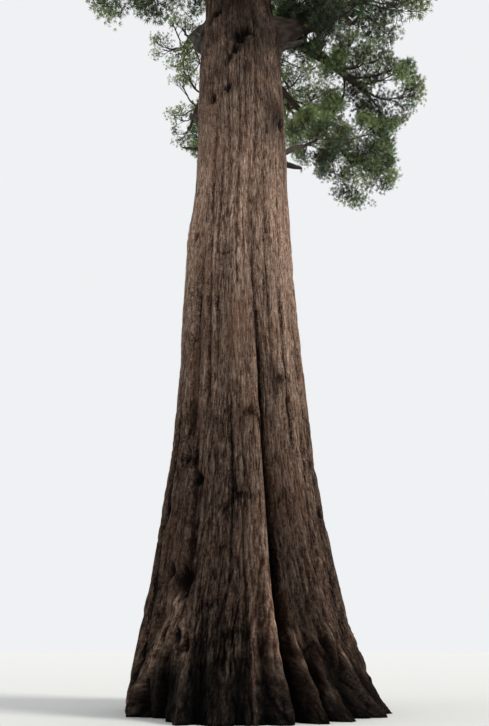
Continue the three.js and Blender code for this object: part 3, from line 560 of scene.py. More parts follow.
def trunk_relief(az, z):
    """Outward shift of the bark in m, the painted shade of its furrows, its lightness with painted light and shade, how
    charred it is with the painted shade at the foot and in hollows, and its fibre.
    """
    r = trunk_radius(az, z, False)
    share = np.clip(r / 3.2, 0.12, 1.2)
    turns = az / 360
    grain = grain_of(az, z)
    g = grain / 360
    sway = 0.42 * drift(g * 14, z / 6.0, 14, 1) + 0.20 * drift(g * 36, z / 2.0, 36, 2) + 0.09 * drift(g * 90, z / 0.55, 90, 16)
    # broad rounded ridges, long and pointed, running into each other
    edge, tag = ridges(g * 76 + sway * 1.2, z / 3.2 + 0.3 * drift(g * 30, z / 3, 30, 3), 76, 4)
    plateau = smooth(edge, 0.0, 0.5)
    # narrow furrows that wander, part and meet again
    wander = np.abs(drift(g * 118 + sway * 2.2, z / 2.1, 118, 5) + 0.35 * drift(g * 118, z / 0.6, 118, 17))
    crease = 1 - smooth(wander, 0.02, 0.24)
    wander2 = np.abs(drift(g * 236 + sway * 3.6, z / 1.0, 236, 6) + 0.3 * drift(g * 236, z / 0.45, 236, 18))
    crease2 = 1 - smooth(wander2, 0.02, 0.30)
    lumps = drift(g * 24, z / 2.4, 24, 7) + 0.5 * drift(g * 52, z / 0.8, 52, 8)
    broad = drift(turns * 13, z / 9.0, 13, 9)
    deep = np.interp(z, [0, 2, 8, 20, 40, 83], [0.085, 0.085, 0.065, 0.05, 0.045, 0.04]) * (1 + 0.5 * lumps)
    shift = share * (deep * (plateau - 0.75 + 0.5 * (tag - 0.5)) - 0.050 * (1 + 0.6 * lumps) * crease - 0.024 * crease2 * (1 + 1.3 * np.exp(-z / 3))
                     + 0.026 * lumps + 0.05 * broad + 0.025)
    # painted shade in the furrows, weaker higher up
    furrow = np.clip(0.12 * (1 - plateau) + 0.46 * crease * (0.8 + 0.5 * lumps) + 0.30 * crease2 + 0.10 * (0.5 - tag), 0, 1)
    furrow = furrow * np.interp(z, [0, 7, 14, 28, 34, 83], [1.0, 0.95, 0.57, 0.56, 0.62, 0.62])
    # the deep seam, with painted shade in its opening
    cut, dark = seam_cut(az, z, r)
    shift = shift - cut
    furrow = np.maximum(furrow, 0.98 * dark ** 0.7)
    # long folds, with painted shade in their grooves
    folds = np.zeros_like(az)
    for line, width, depth in FOLDS:
        line = np.array(line)
        x = np.radians(turn(az, np.interp(z, line[:, 0], line[:, 1]))) * r
        ends = smooth(z, line[0, 0] - 1.6, line[0, 0] + 0.6) * (1 - smooth(z, line[-1, 0] - 0.6, line[-1, 0] + 1.8))
        ends = ends * np.clip(0.85 + 0.4 * drift(turns * 6, z / 1.3, 6, 10), 0.3, 1.2)
        groove = np.exp(-(np.abs(x) / width) ** 1.6) * ends * np.interp(z, [10, 18], [1.0, 0.56])
        shift = shift - depth * groove + 0.22 * depth * bell(np.abs(x) - 2.2 * width, 0.9 * width) * ends
        furrow = np.maximum(furrow, 0.95 * groove)
        folds = np.maximum(folds, groove)
    roots = np.zeros_like(az)
    for line, width, rise, fade in ROOTS:
        line = np.array(line)
        x = np.radians(turn(az, np.interp(z, line[:, 0], line[:, 1]))) * r
        spread = width * (1 + 0.25 * drift(turns * 40, z / 0.7, 40, 15))
        rough = 1 + 0.35 * drift(turns * 50, z / 0.45, 50, 24)
        shift = shift + rise * rough * bell(x, spread) * np.exp(-(z / fade) ** 1.5)
        roots = roots + np.sign(rise) * bell(x, 0.75 * spread) * np.exp(-(z / (1.1 * fade)) ** 2)
    # painted shade in the root hollows, less of it on the root ridges
    furrow = np.clip(furrow + 0.35 * np.clip(-roots, 0, 1) - 0.10 * np.clip(roots, 0, 1), 0, 1)
    # knots and small hollows, with a raised rim and painted shade inside
    hollow_shade = np.maximum(0.85 * dark ** 1.5, 0.26 * folds)
    for a, h, wide, high, depth in KNOTS:
        x, y = np.radians(turn(az, a)) * r, z - h
        rho = np.sqrt((x / wide) ** 2 + (y / high) ** 2) * (1 + 0.3 * drift(turns * 60, z / 0.5, 60, 11) + 0.2 * drift(turns * 160, z / 0.26, 160, 23))
        hole = np.exp(-np.clip(rho, 0, 6) ** 3.2)
        shift = shift - depth * hole + 0.18 * depth * bell(rho - 1.7, 0.5)
        # painted shade in each hollow: the shallow ones are only a little darker than the bark round them
        strong = min(1.0, 0.30 + 3.0 * depth)
        furrow = np.maximum(furrow, 0.95 * strong * hole)
        hollow_shade = np.maximum(hollow_shade, strong ** 2 * hole)
    for a, h, wide, high, rise in BURLS:
        rho = np.sqrt((turn(az, a) / wide) ** 2 + ((z - h) / high) ** 2)
        lump = np.exp(-0.5 * rho ** 2) * (1 + 0.35 * drift(turns * 70, z / 0.5, 70, 12))
        shift = shift + rise * lump
    # swelling round the foot of each bough, with painted shade in the wrinkles at its edge
    for _, _, h, a, d, rise, _ in BOUGHS + INNER_BOUGHS:
        x, y = np.radians(turn(az, a)) * r, z - h - 0.08 * d
        rho = np.sqrt((x / (0.80 * d)) ** 2 + (y / (1.15 * d)) ** 2)
        shift = shift + 0.20 * d * np.exp(-rho ** 2)
        wrinkle = bell(rho - 1.05, 0.12) + 0.6 * bell(rho - 1.45, 0.10)
        shift = shift - 0.035 * d * wrinkle
        furrow = np.clip(furrow + 0.35 * wrinkle * smooth(d, 0.3, 1.0), 0, 1)
    # broken edges of outer plates: the bark above stands proud of the bark below, with painted shade under each edge
    for a, h, half, drop, step in PLATES:
        x = turn(az, a) / half
        line = h + drop * x + 0.10 * drift(turns * 90, z * 0 + 0.3, 90, 13) - 0.5 * x * x * abs(step) * 6
        ends = np.exp(-np.abs(x) ** 4)
        above = smooth(z, line, line + 0.06) * np.exp(-np.clip(z - line, 0, 9) / 0.7)
        shift = shift + step * above * ends
        shade = ends * bell(z - line + 0.06, 0.07)
        furrow = np.clip(furrow + min(0.5, 4.5 * step) * shade, 0, 1)
        hollow_shade = np.maximum(hollow_shade, min(0.32, 2.6 * step) * shade)
    # painted shade: the darkening with height is full in front and only slight at the back, so the foot is dark in
    # front and browner at the back
    front = smooth(np.cos(np.radians(turn(az, 272))), -0.35, 0.35)
    tone_and_painted_light = np.interp(z, PAINTED_SHADE_BY_HEIGHT[:, 0], PAINTED_SHADE_BY_HEIGHT[:, 1])
    tone_and_painted_light = tone_and_painted_light * front + np.maximum(tone_and_painted_light, np.interp(z, [0, 1.5, 6, 14], [0.55, 0.72, 0.90, 1.1])) * (1 - front)
    bands = 0.16 * drift(g * 34 + 0.3 * sway, z / 13.0, 34, 21) + 0.13 * drift(g * 72 + 0.6 * sway, z / 7.0, 72, 22)
    # painted light on the root ridges and painted shade in the root hollows, over random changes of lightness
    tone_and_painted_light = tone_and_painted_light * (1 + 0.16 * broad + 0.10 * lumps + bands) * np.exp(np.where(az < 283, 1.15, 0.85) * np.clip(roots, -1.2, 1.0))
    flakes = (1 - smooth(z, 1.6, 4.6)) * (0.42 * drift(g * 60, z / 0.5, 60, 27) + 0.50 * drift(g * 130, z / 0.28, 130, 28))
    tone_and_painted_light = tone_and_painted_light * np.exp(1.2 * flakes)
    mottle = smooth(z, 24, 34) * (0.50 * drift(turns * 22, z / 1.7, 22, 25) + 0.40 * drift(turns * 48, z / 0.8, 48, 26))
    tone_and_painted_light = tone_and_painted_light * np.exp(1.2 * mottle)
    for a, h, wide, high, amount in LIGHT_AND_SHADE_PATCHES:
        tone_and_painted_light = tone_and_painted_light * (1 + amount * bell(turn(az, a), wide) * bell(z - h, high))
    tone_and_painted_light = np.clip(tone_and_painted_light * (0.93 + 0.14 * tag), 0.02, 2.4)
    # darker near the ground and most in front: partly charred bark, partly painted shade; the painted shade of the
    # hollows is added on
    char_and_shade = np.clip(1.05 - z / 1.9 + 0.55 * drift(turns * 16, z / 1.1, 16, 14), 0, 1) \
        + 0.9 * bell(turn(az, 260), 12) * bell(z - 2.3, 0.8) + 0.6 * bell(turn(az, 100), 14) * np.exp(-z / 2.2)
    char_and_shade = np.clip(0.5 * char_and_shade * (0.50 + 0.9 * crease) * (0.35 + 0.65 * front) * (1 - 0.8 * np.clip(roots, 0, 1)) + hollow_shade, 0, 1)
    return shift, furrow, tone_and_painted_light, char_and_shade, grain


def build_trunk():
    # close columns where the photograph looks, closer still at the seam
    front = np.concatenate([np.linspace(180, 281, 176, endpoint=False), np.linspace(281, 298, 52, endpoint=False),
                            np.linspace(298, 360, 106, endpoint=False)])
    az = np.concatenate([np.linspace(0, 180, 124, endpoint=False), front])
    z = [0.0]
    while z[-1] < TRUNK_TIP:
        z.append(z[-1] + (0.088 + 0.0052 * z[-1] if z[-1] < 39 else 1.3))
    z = np.array(z)
    z *= TRUNK_TIP / z[-1]
    rows, columns = len(z), len(az)
    A, Z = np.meshgrid(az, z)
    shift, furrow, tone_and_painted_light, char_and_shade, grain = trunk_relief(A, Z)
    shift = shift * smooth(TRUNK_TIP - Z, 0.0, 1.5)
    R = np.maximum(trunk_radius(A, Z, False) + shift, 0.04)
    points = axis_at(Z) + outward(A) * R[..., None]
    points[0, :, 2] = 0.0
    # where a fibre would lie on a plain pole, for the bark's pattern
    pole = (outward(grain) * 3.2 + np.stack([0 * Z, 0 * Z, Z], -1)).reshape(-1, 3) * K
    points = points.reshape(-1, 3)
    i = np.arange(rows * columns).reshape(rows, columns)
    a, b = i[:-1], np.roll(i, -1, 1)[:-1]
    c, d = np.roll(i, -1, 1)[1:], i[1:]
    quads = np.stack([a, b, c, d], -1)
    split = int(np.searchsorted(z, 17.0))
    for name, r0, r1 in (("trunk_lower", 0, split), ("trunk_upper", split, rows - 1)):
        keep = quads[r0:r1].reshape(-1, 4)
        start, end = r0 * columns, (r1 + 1) * columns
        part = points[start:end]
        faces = keep - start
        values = {"furrow": furrow.ravel()[start:end], "tone_and_painted_light": tone_and_painted_light.ravel()[start:end], "char_and_shade": char_and_shade.ravel()[start:end],
                  "grain": pole[start:end]}
        tri = np.concatenate([faces[:, [0, 1, 2]], faces[:, [0, 2, 3]]])
        if name == "trunk_lower":
            middle = len(part)
            part = np.concatenate([part, axis_at(np.array([0.0]))])
            j = np.arange(columns)
            tri = np.concatenate([tri, np.stack([np.full(columns, middle), np.roll(j, -1), j], -1)])
            values = {k: np.concatenate([v, v[-1:]]) for k, v in values.items()}
        else:
            middle = len(part)
            part = np.concatenate([part, axis_at(np.array([TRUNK_TIP]))])
            j = np.arange(columns) + (r1 - r0) * columns
            tri = np.concatenate([tri, np.stack([np.full(columns, middle), j, np.roll(j, -1)], -1)])
            values = {k: np.concatenate([v, v[-1:]]) for k, v in values.items()}
        ob = new_mesh(name, part, tri, [BARK], values=values)
        hand_over(ob, ["trunk"])


# ---------------------------------------------------------------- limbs
def mass_centre(mass):
    return outward(mass[2]) * mass[3] + axis_at(mass[4])


def limb_path(bough, mass):
    _, _, z, az, _, rise, fall = bough
    start = axis_at(z) + outward(az) * (trunk_radius(az, z) - 1.1)
    end = mass_centre(mass) - outward(mass[2]) * 0.25 * mass[5] - np.array([0, 0, 0.1 * mass[7]])
    span = math.hypot(end[0] - start[0], end[1] - start[1])
    one = start + outward(az) * 0.42 * span + np.array([0, 0, rise])
    two = end - outward(mass[2]) * 0.34 * span + np.array([0, 0, fall])
    return np.stack([start, one, two, end])


def bezier(c, t):
    t = np.asarray(t)[..., None]
    s = 1 - t
    return s ** 3 * c[..., 0, :] + 3 * s * s * t * c[..., 1, :] + 3 * s * t * t * c[..., 2, :] + t ** 3 * c[..., 3, :]


def limb_radius(d, t):
    return 0.5 * d * ((1 - 0.68 * t) + 0.3 * np.exp(-t / 0.12) * min(max(1.4 - d / 2, 0.4), 1))


def frames(path):
    """Unit directions along and across a path, turned as little as possible from step to step."""
    t = unit(np.gradient(path, axis=0))
    side = np.cross([0, 0, 1.0], t[0])
    side = side / max(np.linalg.norm(side), 1e-6)
    sides = []
    for k in range(len(path)):
        side = side - t[k] * (side @ t[k])
        side = side / np.linalg.norm(side)
        sides.append(side)
    sides = np.array(sides)
    return t, sides, np.cross(t, sides)


def limb_skin(path, radius, sides, seed, groove=0.10, cells=9, length=1.1, broken=False):
    """A limb with bark relief along it. Its end tapers to a point, or is torn off."""
    rng = np.random.default_rng(seed)
    t, s, u = frames(path)
    along = np.concatenate([[0], np.cumsum(np.linalg.norm(np.diff(path, axis=0), axis=1))])
    a = np.arange(sides) / sides
    A, L = np.meshgrid(a, along)
    warp = 0.5 * drift(A * 5, L / 1.2, 5, seed + 1) + 0.15 * L
    edge, tag = ridges(A * cells + warp, L / length + 3, cells, seed + 2)
    plateau = smooth(edge, 0.0, 0.5)
    lumps = drift(A * 3, L / (1.5 * length), 3, seed + 3)
    R = radius[:, None] * (1 + groove * (plateau - 0.55) + 0.07 * lumps)
    push = np.zeros_like(R)
    if broken:
        tear = rng.random(sides)
        tear = 0.6 * tear + 0.4 * np.roll(tear, 1)
        push[-1] = radius[-1] * (1.5 * tear - 0.3)
        push[-2] = radius[-1] * (0.5 * tear - 0.1)
    ring = path[:, None] + R[..., None] * (np.cos(TAU * A)[..., None] * s[:, None] + np.sin(TAU * A)[..., None] * u[:, None]) \
        + push[..., None] * t[:, None]
    # painted shade in the limb's furrows
    furrow = np.clip(0.9 * (1 - plateau) + 0.2 * (0.5 - tag), 0, 1)
    rings, values = [ring.reshape(-1, 3)], [furrow.ravel()]
    steps = len(path)
    if broken:
        tear2 = rng.random(sides)
        inner = path[-1] + radius[-1] * 0.55 * (np.cos(TAU * a)[:, None] * s[-1] + np.sin(TAU * a)[:, None] * u[-1]) \
            + (radius[-1] * (0.9 * tear2 - 0.5))[:, None] * t[-1]
        rings.append(inner)
        values.append(np.full(sides, 0.15))
        steps += 1
    tip = path[-1] + t[-1] * (radius[-1] * (-0.35 if broken else 1.2))
    rings.append(tip[None])
    values.append([0.6 if broken else 0.2])
    i = np.arange(steps * sides).reshape(steps, sides)
    p, q, r, w = i[:-1], np.roll(i, -1, 1)[:-1], np.roll(i, -1, 1)[1:], i[1:]
    tri = np.concatenate([np.stack([p, q, r], -1).reshape(-1, 3), np.stack([p, r, w], -1).reshape(-1, 3)])
    last = i[-1]
    cap = np.stack([last, np.roll(last, -1), np.full(sides, steps * sides)], -1)
    return np.concatenate(rings), np.concatenate([tri, cap]), np.concatenate(values)


def build_limbs():
    """The boughs, by tier, and the paths that the branches grow on from."""
    paths, heaps = {}, {}
    for row, inner in [(b, False) for b in BOUGHS] + [(b, True) for b in INNER_BOUGHS]:
        mass = next(m for m in MASSES if m[:2] == row[:2])
        c = limb_path(row, mass)
        d = row[4]
        length = np.linalg.norm(np.diff(bezier(c, np.linspace(0, 1, 40)), axis=0), axis=1).sum()
        count = int(np.clip(length / 0.20, 20, 64))
        t = np.linspace(0, 1, count)
        rng = np.random.default_rng(mass[8] + 700)
        path = bezier(c, t)
        # slight crooks, none at the trunk
        swing = np.stack([np.sin(t * rng.uniform(5, 9) + rng.uniform(0, 6)) * rng.uniform(0.10, 0.2) for _ in range(3)], -1)
        path = path + swing * (smooth(t, 0.12, 0.5) * (1 - 0.5 * t))[:, None] * min(d, 1.0)
        radius = limb_radius(d, t)
        if row[:2] == ("lower", 1):
            radius = radius * (1 - 0.32 * smooth(t, 0.14, 0.40))
        # collar that spreads on to the trunk
        bark_at = 1.1 / length
        radius = radius * (1 + 0.30 * np.exp(-np.abs(t - bark_at) * length / (0.55 * d)))
        knots = [(rng.uniform(0.2, 0.9), rng.uniform(0.06, 0.14)) for _ in range(4)]
        for at, swell in knots:
            radius = radius * (1 + swell * bell(t - at, 0.025))
        sides = 32 if d > 1.6 else 24 if d > 0.8 else 14
        points, tri, furrow = limb_skin(path, radius, sides, mass[8] + 300, 0.11, 13 if d > 0.8 else 8, 0.9 + 0.7 * d)
        key = row[0] if row[0] not in ("head", "top") else "upper"
        heaps.setdefault(key, (Heap(), []))
        heaps[key][0].add(points, tri, furrow=furrow)
        if not inner:
            heaps[key][1].append("bough_%s_%d" % row[:2])
        paths[row[:2]] = (path, radius)
    for key, (heap, nodes) in heaps.items():
        hand_over(heap.piece("boughs_" + key, [SHADED_BOUGH_BARK]), nodes)
    return paths


def build_stubs():
    for n, (name, z, az, d, length, rise) in enumerate(STUBS):
        start = trunk_radius(az, z) - 0.55
        p0 = axis_at(z) + outward(az) * start
        p2 = axis_at(z + rise) + outward(az) * (start + 0.55 + length * 0.92)
        p1 = (p0 + p2) / 2 - np.array([0, 0, 0.08 * length])
        t = np.linspace(0, 1, 16)[:, None]
        path = (1 - t) ** 2 * p0 + 2 * t * (1 - t) * p1 + t * t * p2
        t = t[:, 0]
        radius = 0.5 * d * (1.05 - 0.62 * t * t) * (1 + 0.25 * np.exp(-((t * (0.55 + length) - 0.5) / 0.22) ** 2))
        points, tri, furrow = limb_skin(path, radius, 20, 900 + n, 0.20, 7, 0.6, broken=True)
        heap = Heap()
        heap.add(points, tri, furrow=furrow)
        hand_over(heap.piece(name + "_wood", [DEAD_WOOD]), [name])


# ---------------------------------------------------------------- branches, twigs and leaves
def tubes(path, radius, sides):
    """Many thin limbs at once, each from a ring at its foot to a point at its tip."""
    n, s = path.shape[0], path.shape[1] - 1
    t = unit(np.gradient(path, axis=1))
    whole = unit(path[:, -1] - path[:, 0])
    helper = np.where(np.abs(whole[:, 2:3]) < 0.85, np.array([[0, 0, 1.0]]), np.array([[1.0, 0, 0]]))
    ref = np.cross(whole, helper)[:, None]
    side = unit(ref - t * (ref * t).sum(-1, keepdims=True))
    up = np.cross(t, side)
    a = TAU * np.arange(sides) / sides
    ring = path[:, :-1, None] + radius[:, :-1, None, None] * (np.cos(a)[:, None] * side[:, :-1, None] + np.sin(a)[:, None] * up[:, :-1, None])
    points = np.concatenate([ring.reshape(n, s * sides, 3), path[:, -1:]], 1)
    i = np.arange(s * sides).reshape(s, sides)
    p, q, r, w = i[:-1], np.roll(i, -1, 1)[:-1], np.roll(i, -1, 1)[1:], i[1:]
    tri = np.concatenate([np.stack([p, q, r], -1).reshape(-1, 3), np.stack([p, r, w], -1).reshape(-1, 3),
                          np.stack([i[-1], np.roll(i[-1], -1), np.full(sides, s * sides)], -1)])
    per = s * sides + 1
    faces = (tri[None] + per * np.arange(n)[:, None, None]).reshape(-1, 3)
    return points.reshape(-1, 3), faces


def sphere_points(n, rng, low=-1.0):
    """Evenly spread directions, from height `low` of the unit sphere upwards, turned at random."""
    k = np.arange(n) + 0.5
    z = 1 - (1 - low) * k / n
    a = k * 2.399963 + rng.uniform(0, TAU)
    z = np.clip(z + rng.normal(0, 0.08, n), -1, 1)
    a = a + rng.normal(0, 0.22, n)
    q = np.sqrt(1 - z * z)
    return np.stack([q * np.cos(a), q * np.sin(a), z], -1)


class Mass:
    """The outline of one foliage mass."""

    def __init__(self, row):
        self.centre = mass_centre(row)
        self.basis = np.stack([outward(row[2]), outward(row[2] + 90), np.array([0, 0, 1.0])])
        self.size = np.array(row[5:8])
        self.noise = waves(row[8])

    def reach(self, p):
        """1 at the mass's surface, less inside."""
        q = ((p - self.centre) @ self.basis.T) / self.size
        rho = np.linalg.norm(q, axis=-1)
        d = unit(q)
        # the solid's directions are those of the unshaped sphere, turned with the mass
        k = (1 + self.noise(d)) * np.where(d[..., 2] < 0, 1 - 0.16 * d[..., 2] ** 2, 1)
        return rho / k

    def at(self, d, share):
        """The point at a share of the way to the surface, in direction d of the mass's own frame."""
        k = (1 + self.noise(d)) * np.where(d[..., 2] < 0, 1 - 0.16 * d[..., 2] ** 2, 1)
        return self.centre + (d * (k * share)[..., None] * self.size) @ self.basis

    def pull_in(self, p, limit):
        rho = self.reach(p)
        return self.centre + (p - self.centre) * np.minimum(1, limit / np.maximum(rho, 1e-6))[..., None]


def tuft_shapes(count, sprays, seed):
    """Tufts of sprays round a twig's end, the sprays in close bunches of three. A spray is a blade of three cordlets that
    part from one foot, a face each; sizes are shares of the tuft's radius."""
    rng = np.random.default_rng(seed)
    shapes = []
    for _ in range(count):
        bunch = np.repeat(sphere_points(sprays // 3, rng, -0.75), 3, 0)
        out = np.repeat(rng.uniform(0.28, 0.74, sprays // 3), 3)[:, None]
        start = bunch * out + rng.normal(0, 0.05, (sprays, 3)) + np.array([0, 0, -0.10])
        axis = unit(bunch + rng.normal(0, 0.55, (sprays, 3)) + np.array([0, 0, 0.30]))
        length = rng.uniform(0.36, 0.60, (sprays, 1))
        across = unit(np.cross(axis, rng.normal(0, 1, (sprays, 3))))
        face = np.cross(across, axis)
        face = face * np.where(face[:, 2:3] < 0, -1, 1)
        width = length * rng.uniform(0.46, 0.64, (sprays, 1))
        feet = [start + across * width * k for k in (-0.5, -0.17, 0.17, 0.5)]
        tips = [start + length * (share * (math.cos(a) * axis + math.sin(a) * across) - drop * face)
                for share, a, drop in ((0.84, -0.72, 0.14), (1.0, 0.0, -0.05), (0.84, 0.72, 0.14))]
        shapes.append(np.stack(feet + tips, 1))
    return np.array(shapes)  # count, sprays, 7, 3


# how each tier's masses are filled: lobes, clumps in a lobe, tufts in a clump, sprays in a tuft, tuft radius m
FILL = {
    "hanging": (9, 6, 15, 15, 0.48), "lower": (10, 6, 8, 15, 0.70), "middle": (10, 6, 7, 15, 0.80),
    "upper": (10, 6, 6, 15, 0.86), "head": (9, 6, 7, 15, 0.80), "top": (10, 6, 7, 15, 0.72)}
# thin, open masses: share of the twigs that grow; their sprays also get painted light
THIN = {("hanging", 5): 0.28, ("hanging", 6): 0.28, ("hanging", 3): 0.58, ("lower", 2): 0.75}
# open pockets in the foliage beside the trunk and at its outer edge: two ends, radius m, share of the twigs that grow there
POCKETS = [
    ((3.4, -0.1, 35.3), (5.2, 11.9, 52.5), 1.00, 0.22),
    ((3.2, 0.8, 33.5), (4.8, 13.0, 49.2), 0.85, 0.25),
    ((3.7, -3.1, 33.7), (5.8, 8.7, 52.1), 0.75, 0.03),
    ((8.8, -4.4, 31.1), (15.2, 9.4, 52.1), 1.25, 0.04),
    ((8.6, -5.2, 31.6), (14.8, 8.1, 53.1), 1.05, 0.10)]
# leafy side branches nearer the trunk: place along the limb, sideways, up, radius m
INNER_GROWTH = {"lower": [(0.62, 0.0, 0.9, 1.35)], "middle": [(0.56, 0.0, 0.7, 1.4)], "upper": [(0.50, 0.0, 0.6, 1.4)],
                "head": [(0.45, 0.0, 0.3, 1.1)], "top": [(1.0, 0.0, 2.1, 1.0), (1.0, 0.0, 1.1, 1.1)]}
SIDE_GROWTH = {
    ("hanging", 1): [(0.36, -0.8, 0.4, 1.2), (0.50, -0.6, -1.0, 1.3), (0.60, -0.7, 1.1, 1.4), (0.68, -0.6, -1.4, 1.3),
                     (0.74, -1.2, 0.3, 1.4)],
    ("lower", 1): [(0.30, -0.9, 0.9, 1.15), (0.40, -1.3, 0.5, 1.4), (0.46, 0.8, -0.6, 1.3), (0.56, -1.0, -1.2, 1.5),
                   (0.64, -1.8, 0.3, 1.6), (0.36, 0.6, 1.1, 1.2), (1.0, -0.3, -1.9, 1.6)],
    ("hanging", 2): [(0.55, 0.6, -0.8, 1.2), (0.66, -1.2, 0.2, 1.4), (0.98, -2.0, -0.5, 1.5), (0.96, -1.0, -1.7, 1.4)],
    ("hanging", 6): [(0.55, 1.2, 1.2, 1.1), (0.75, 1.3, 2.0, 0.9)],
    ("hanging", 5): [(1.0, 0.8, 2.0, 1.3), (0.60, -0.8, -2.6, 1.4), (0.34, 0.9, -3.0, 1.1), (0.75, 0.6, -3.6, 1.2)]}


def grow(row, limb):
    """Branches, twigs and sprays of one mass, grown on from its limb by a seeded rule."""
    tier, number, az, distance, height, a, b, c, seed = row
    rng = np.random.default_rng(seed * 31 + 5)
    mass = Mass(row)
    path, radius = limb
    lobes, clumps, sprays, leaves, size = FILL[tier]
    mean = (a * b * c) ** (1 / 3)
    scale = mean / 4.2
    if scale < 0.75:
        lobes, clumps = 6, 5
    # first order: from the limb's last third to the middle of each lobe
    d1 = sphere_points(lobes, rng, -0.72)
    share = rng.uniform(0.52, 0.66, lobes)
    share[-1] = 0.16
    lobe = mass.at(d1, share)
    lobe_radius = mean * rng.uniform(0.36, 0.50, lobes)
    own = np.ones(lobes, bool)
    side = np.array(SIDE_GROWTH.get((tier, number), []) + INNER_GROWTH.get(tier, [])).reshape(-1, 4)
    along = rng.uniform(0.60, 1.0, lobes)
    order = np.argsort(np.argsort(-(lobe - path[-1]) @ unit(path[-1] - path[0])))
    along = np.sort(along)[::-1][order]
    if len(side):
        foot = np.stack([np.interp(side[:, 0] * (len(path) - 1), np.arange(len(path)), path[:, k]) for k in range(3)], -1)
        spot = foot + outward(row[2] + 90) * side[:, 1:2] + np.array([0, 0, 1.0]) * side[:, 2:3]
        lobe, lobe_radius = np.concatenate([lobe, spot]), np.concatenate([lobe_radius, side[:, 3]])
        along = np.concatenate([along, side[:, 0] - 0.06])
        own = np.concatenate([own, np.zeros(len(side), bool)])
        lobes = len(lobe)
    at = along * (len(path) - 1)
    i0 = np.minimum(at.astype(int), len(path) - 2)
    start = path[i0] + (path[i0 + 1] - path[i0]) * (at - i0)[:, None]
    heading = unit(path[i0 + 1] - path[i0])
    thick = np.interp(at, np.arange(len(path)), radius) * rng.uniform(0.30, 0.46, lobes)
    reach = np.linalg.norm(lobe - start, axis=1)[:, None]
    one = start + (0.55 * heading + 0.45 * unit(lobe - start)) * reach * 0.38 - np.array([0, 0, 0.05]) * reach
    two = lobe - (unit(lobe - start) * 0.6 + np.array([0, 0, 0.5])) * reach * 0.30
    c1 = np.stack([start, one, two, lobe], 1)
    t1 = np.linspace(0, 1, 9)
    p1 = bezier(c1[:, None], t1[None])
    p1 = p1 + rng.normal(0, 0.05, p1.shape) * (np.sin(t1 * math.pi))[None, :, None]
    r1 = thick[:, None] * (1 - 0.72 * t1[None]) + 0.012
    # second order: to the middle of each rounded clump
    n2 = lobes * clumps
    d2 = np.concatenate([sphere_points(clumps, rng, -0.75) for _ in range(lobes)])
    parent1 = np.repeat(np.arange(lobes), clumps)
    away = unit(lobe - mass.centre)[parent1]
    facing = (d2 * away).sum(1)
    d2 = unit(d2 + away * np.where(facing < -0.2, 0.9, 0.25)[:, None])
    clump = lobe[parent1] + d2 * (lobe_radius[parent1] * rng.uniform(0.52, 0.74, n2))[:, None]
    clump_radius = lobe_radius[parent1] * rng.uniform(0.42, 0.60, n2)
    clump = np.where(own[parent1][:, None], mass.pull_in(clump, 0.80), clump)
    t0 = rng.uniform(0.45, 0.98, n2)
    start2 = bezier(c1[parent1], t0)
    ahead = unit(bezier(c1[parent1], np.minimum(t0 + 0.05, 1.05)) - start2)
    reach2 = np.linalg.norm(clump - start2, axis=1)[:, None]
    c2 = np.stack([start2, start2 + (0.6 * ahead + 0.5 * unit(clump - start2)) * reach2 * 0.36,
                   clump - (unit(clump - start2) * 0.5 + np.array([0, 0, 0.55])) * reach2 * 0.28, clump], 1)
    t2 = np.linspace(0, 1, 5)
    p2 = bezier(c2[:, None], t2[None])
    foot2 = (thick[parent1] * (1 - 0.72 * t0) + 0.010) * 0.62
    r2 = foot2[:, None] * (1 - 0.75 * t2[None]) + 0.006
    # third order: a twig to each spray
    n3 = n2 * sprays
    parent2 = np.repeat(np.arange(n2), sprays)
    d3 = np.concatenate([sphere_points(sprays, rng, -0.70) for _ in range(n2)])
    away2 = unit(clump - mass.centre)[parent2]
    facing = (d3 * away2).sum(1)
    d3 = unit(d3 + away2 * np.where(facing < -0.3, 0.8, 0.15)[:, None])
    spot = clump[parent2] + d3 * (clump_radius[parent2] * rng.uniform(0.30, 1.0, n3))[:, None]
    spot = np.where(own[parent1[parent2]][:, None], mass.pull_in(spot, 0.93), spot)
    t0 = rng.uniform(0.35, 1.0, n3)
    start3 = bezier(c2[parent2], t0)
    aim = unit(0.75 * d3 + 0.35 * away2 + np.array([0, 0, 0.42]) + rng.normal(0, 0.18, (n3, 3)))
    spray = size * scale ** 0.5 * rng.uniform(0.78, 1.22, n3)
    end3 = spot + aim * (0.25 * spray)[:, None]
    reach3 = np.linalg.norm(end3 - start3, axis=1)[:, None]
    middle3 = (start3 + end3) / 2 - aim * 0.12 * reach3 + rng.normal(0, 0.04, (n3, 3))
    p3 = np.stack([start3, middle3, end3], 1)
    r3 = np.stack([np.full(n3, 0.022), np.full(n3, 0.016), np.zeros(n3)], 1) * (0.8 + 0.5 * rng.random((n3, 1)))
    # nothing grows through the trunk
    axis = axis_at(spot[:, 2])
    clear = np.hypot(spot[:, 0] - axis[:, 0], spot[:, 1] - axis[:, 1]) > profile(spot[:, 2]) * 1.08 + 0.35
    clear |= spot[:, 2] > 79.0
    grown = np.full(n3, THIN.get((tier, number), 1.0))
    for foot, far, wide, part in POCKETS:
        foot, way = np.array(foot), np.array(far) - np.array(foot)
        t = np.clip((spot - foot) @ way / (way @ way), 0, 1)
        grown = np.where(np.linalg.norm(spot - foot - t[:, None] * way, axis=1) < wide, part, grown)
    clear &= rng.random(n3) < grown
    shaded = (~own[parent1[parent2]] & ((tier, number) == ("lower", 1)))[clear]
    p3, r3, spot, aim, spray = p3[clear], r3[clear], spot[clear], aim[clear], spray[clear]
    # colour by spray: painted shade deeper in, painted light on tips that face up, and a few are browned
    n3 = len(spot)
    light = 0.55 * np.clip((mass.reach(spot) - 0.35) / 0.6, 0, 1) + 0.25 * (aim[:, 2] * 0.5 + 0.5) + 0.30 * rng.random(n3)
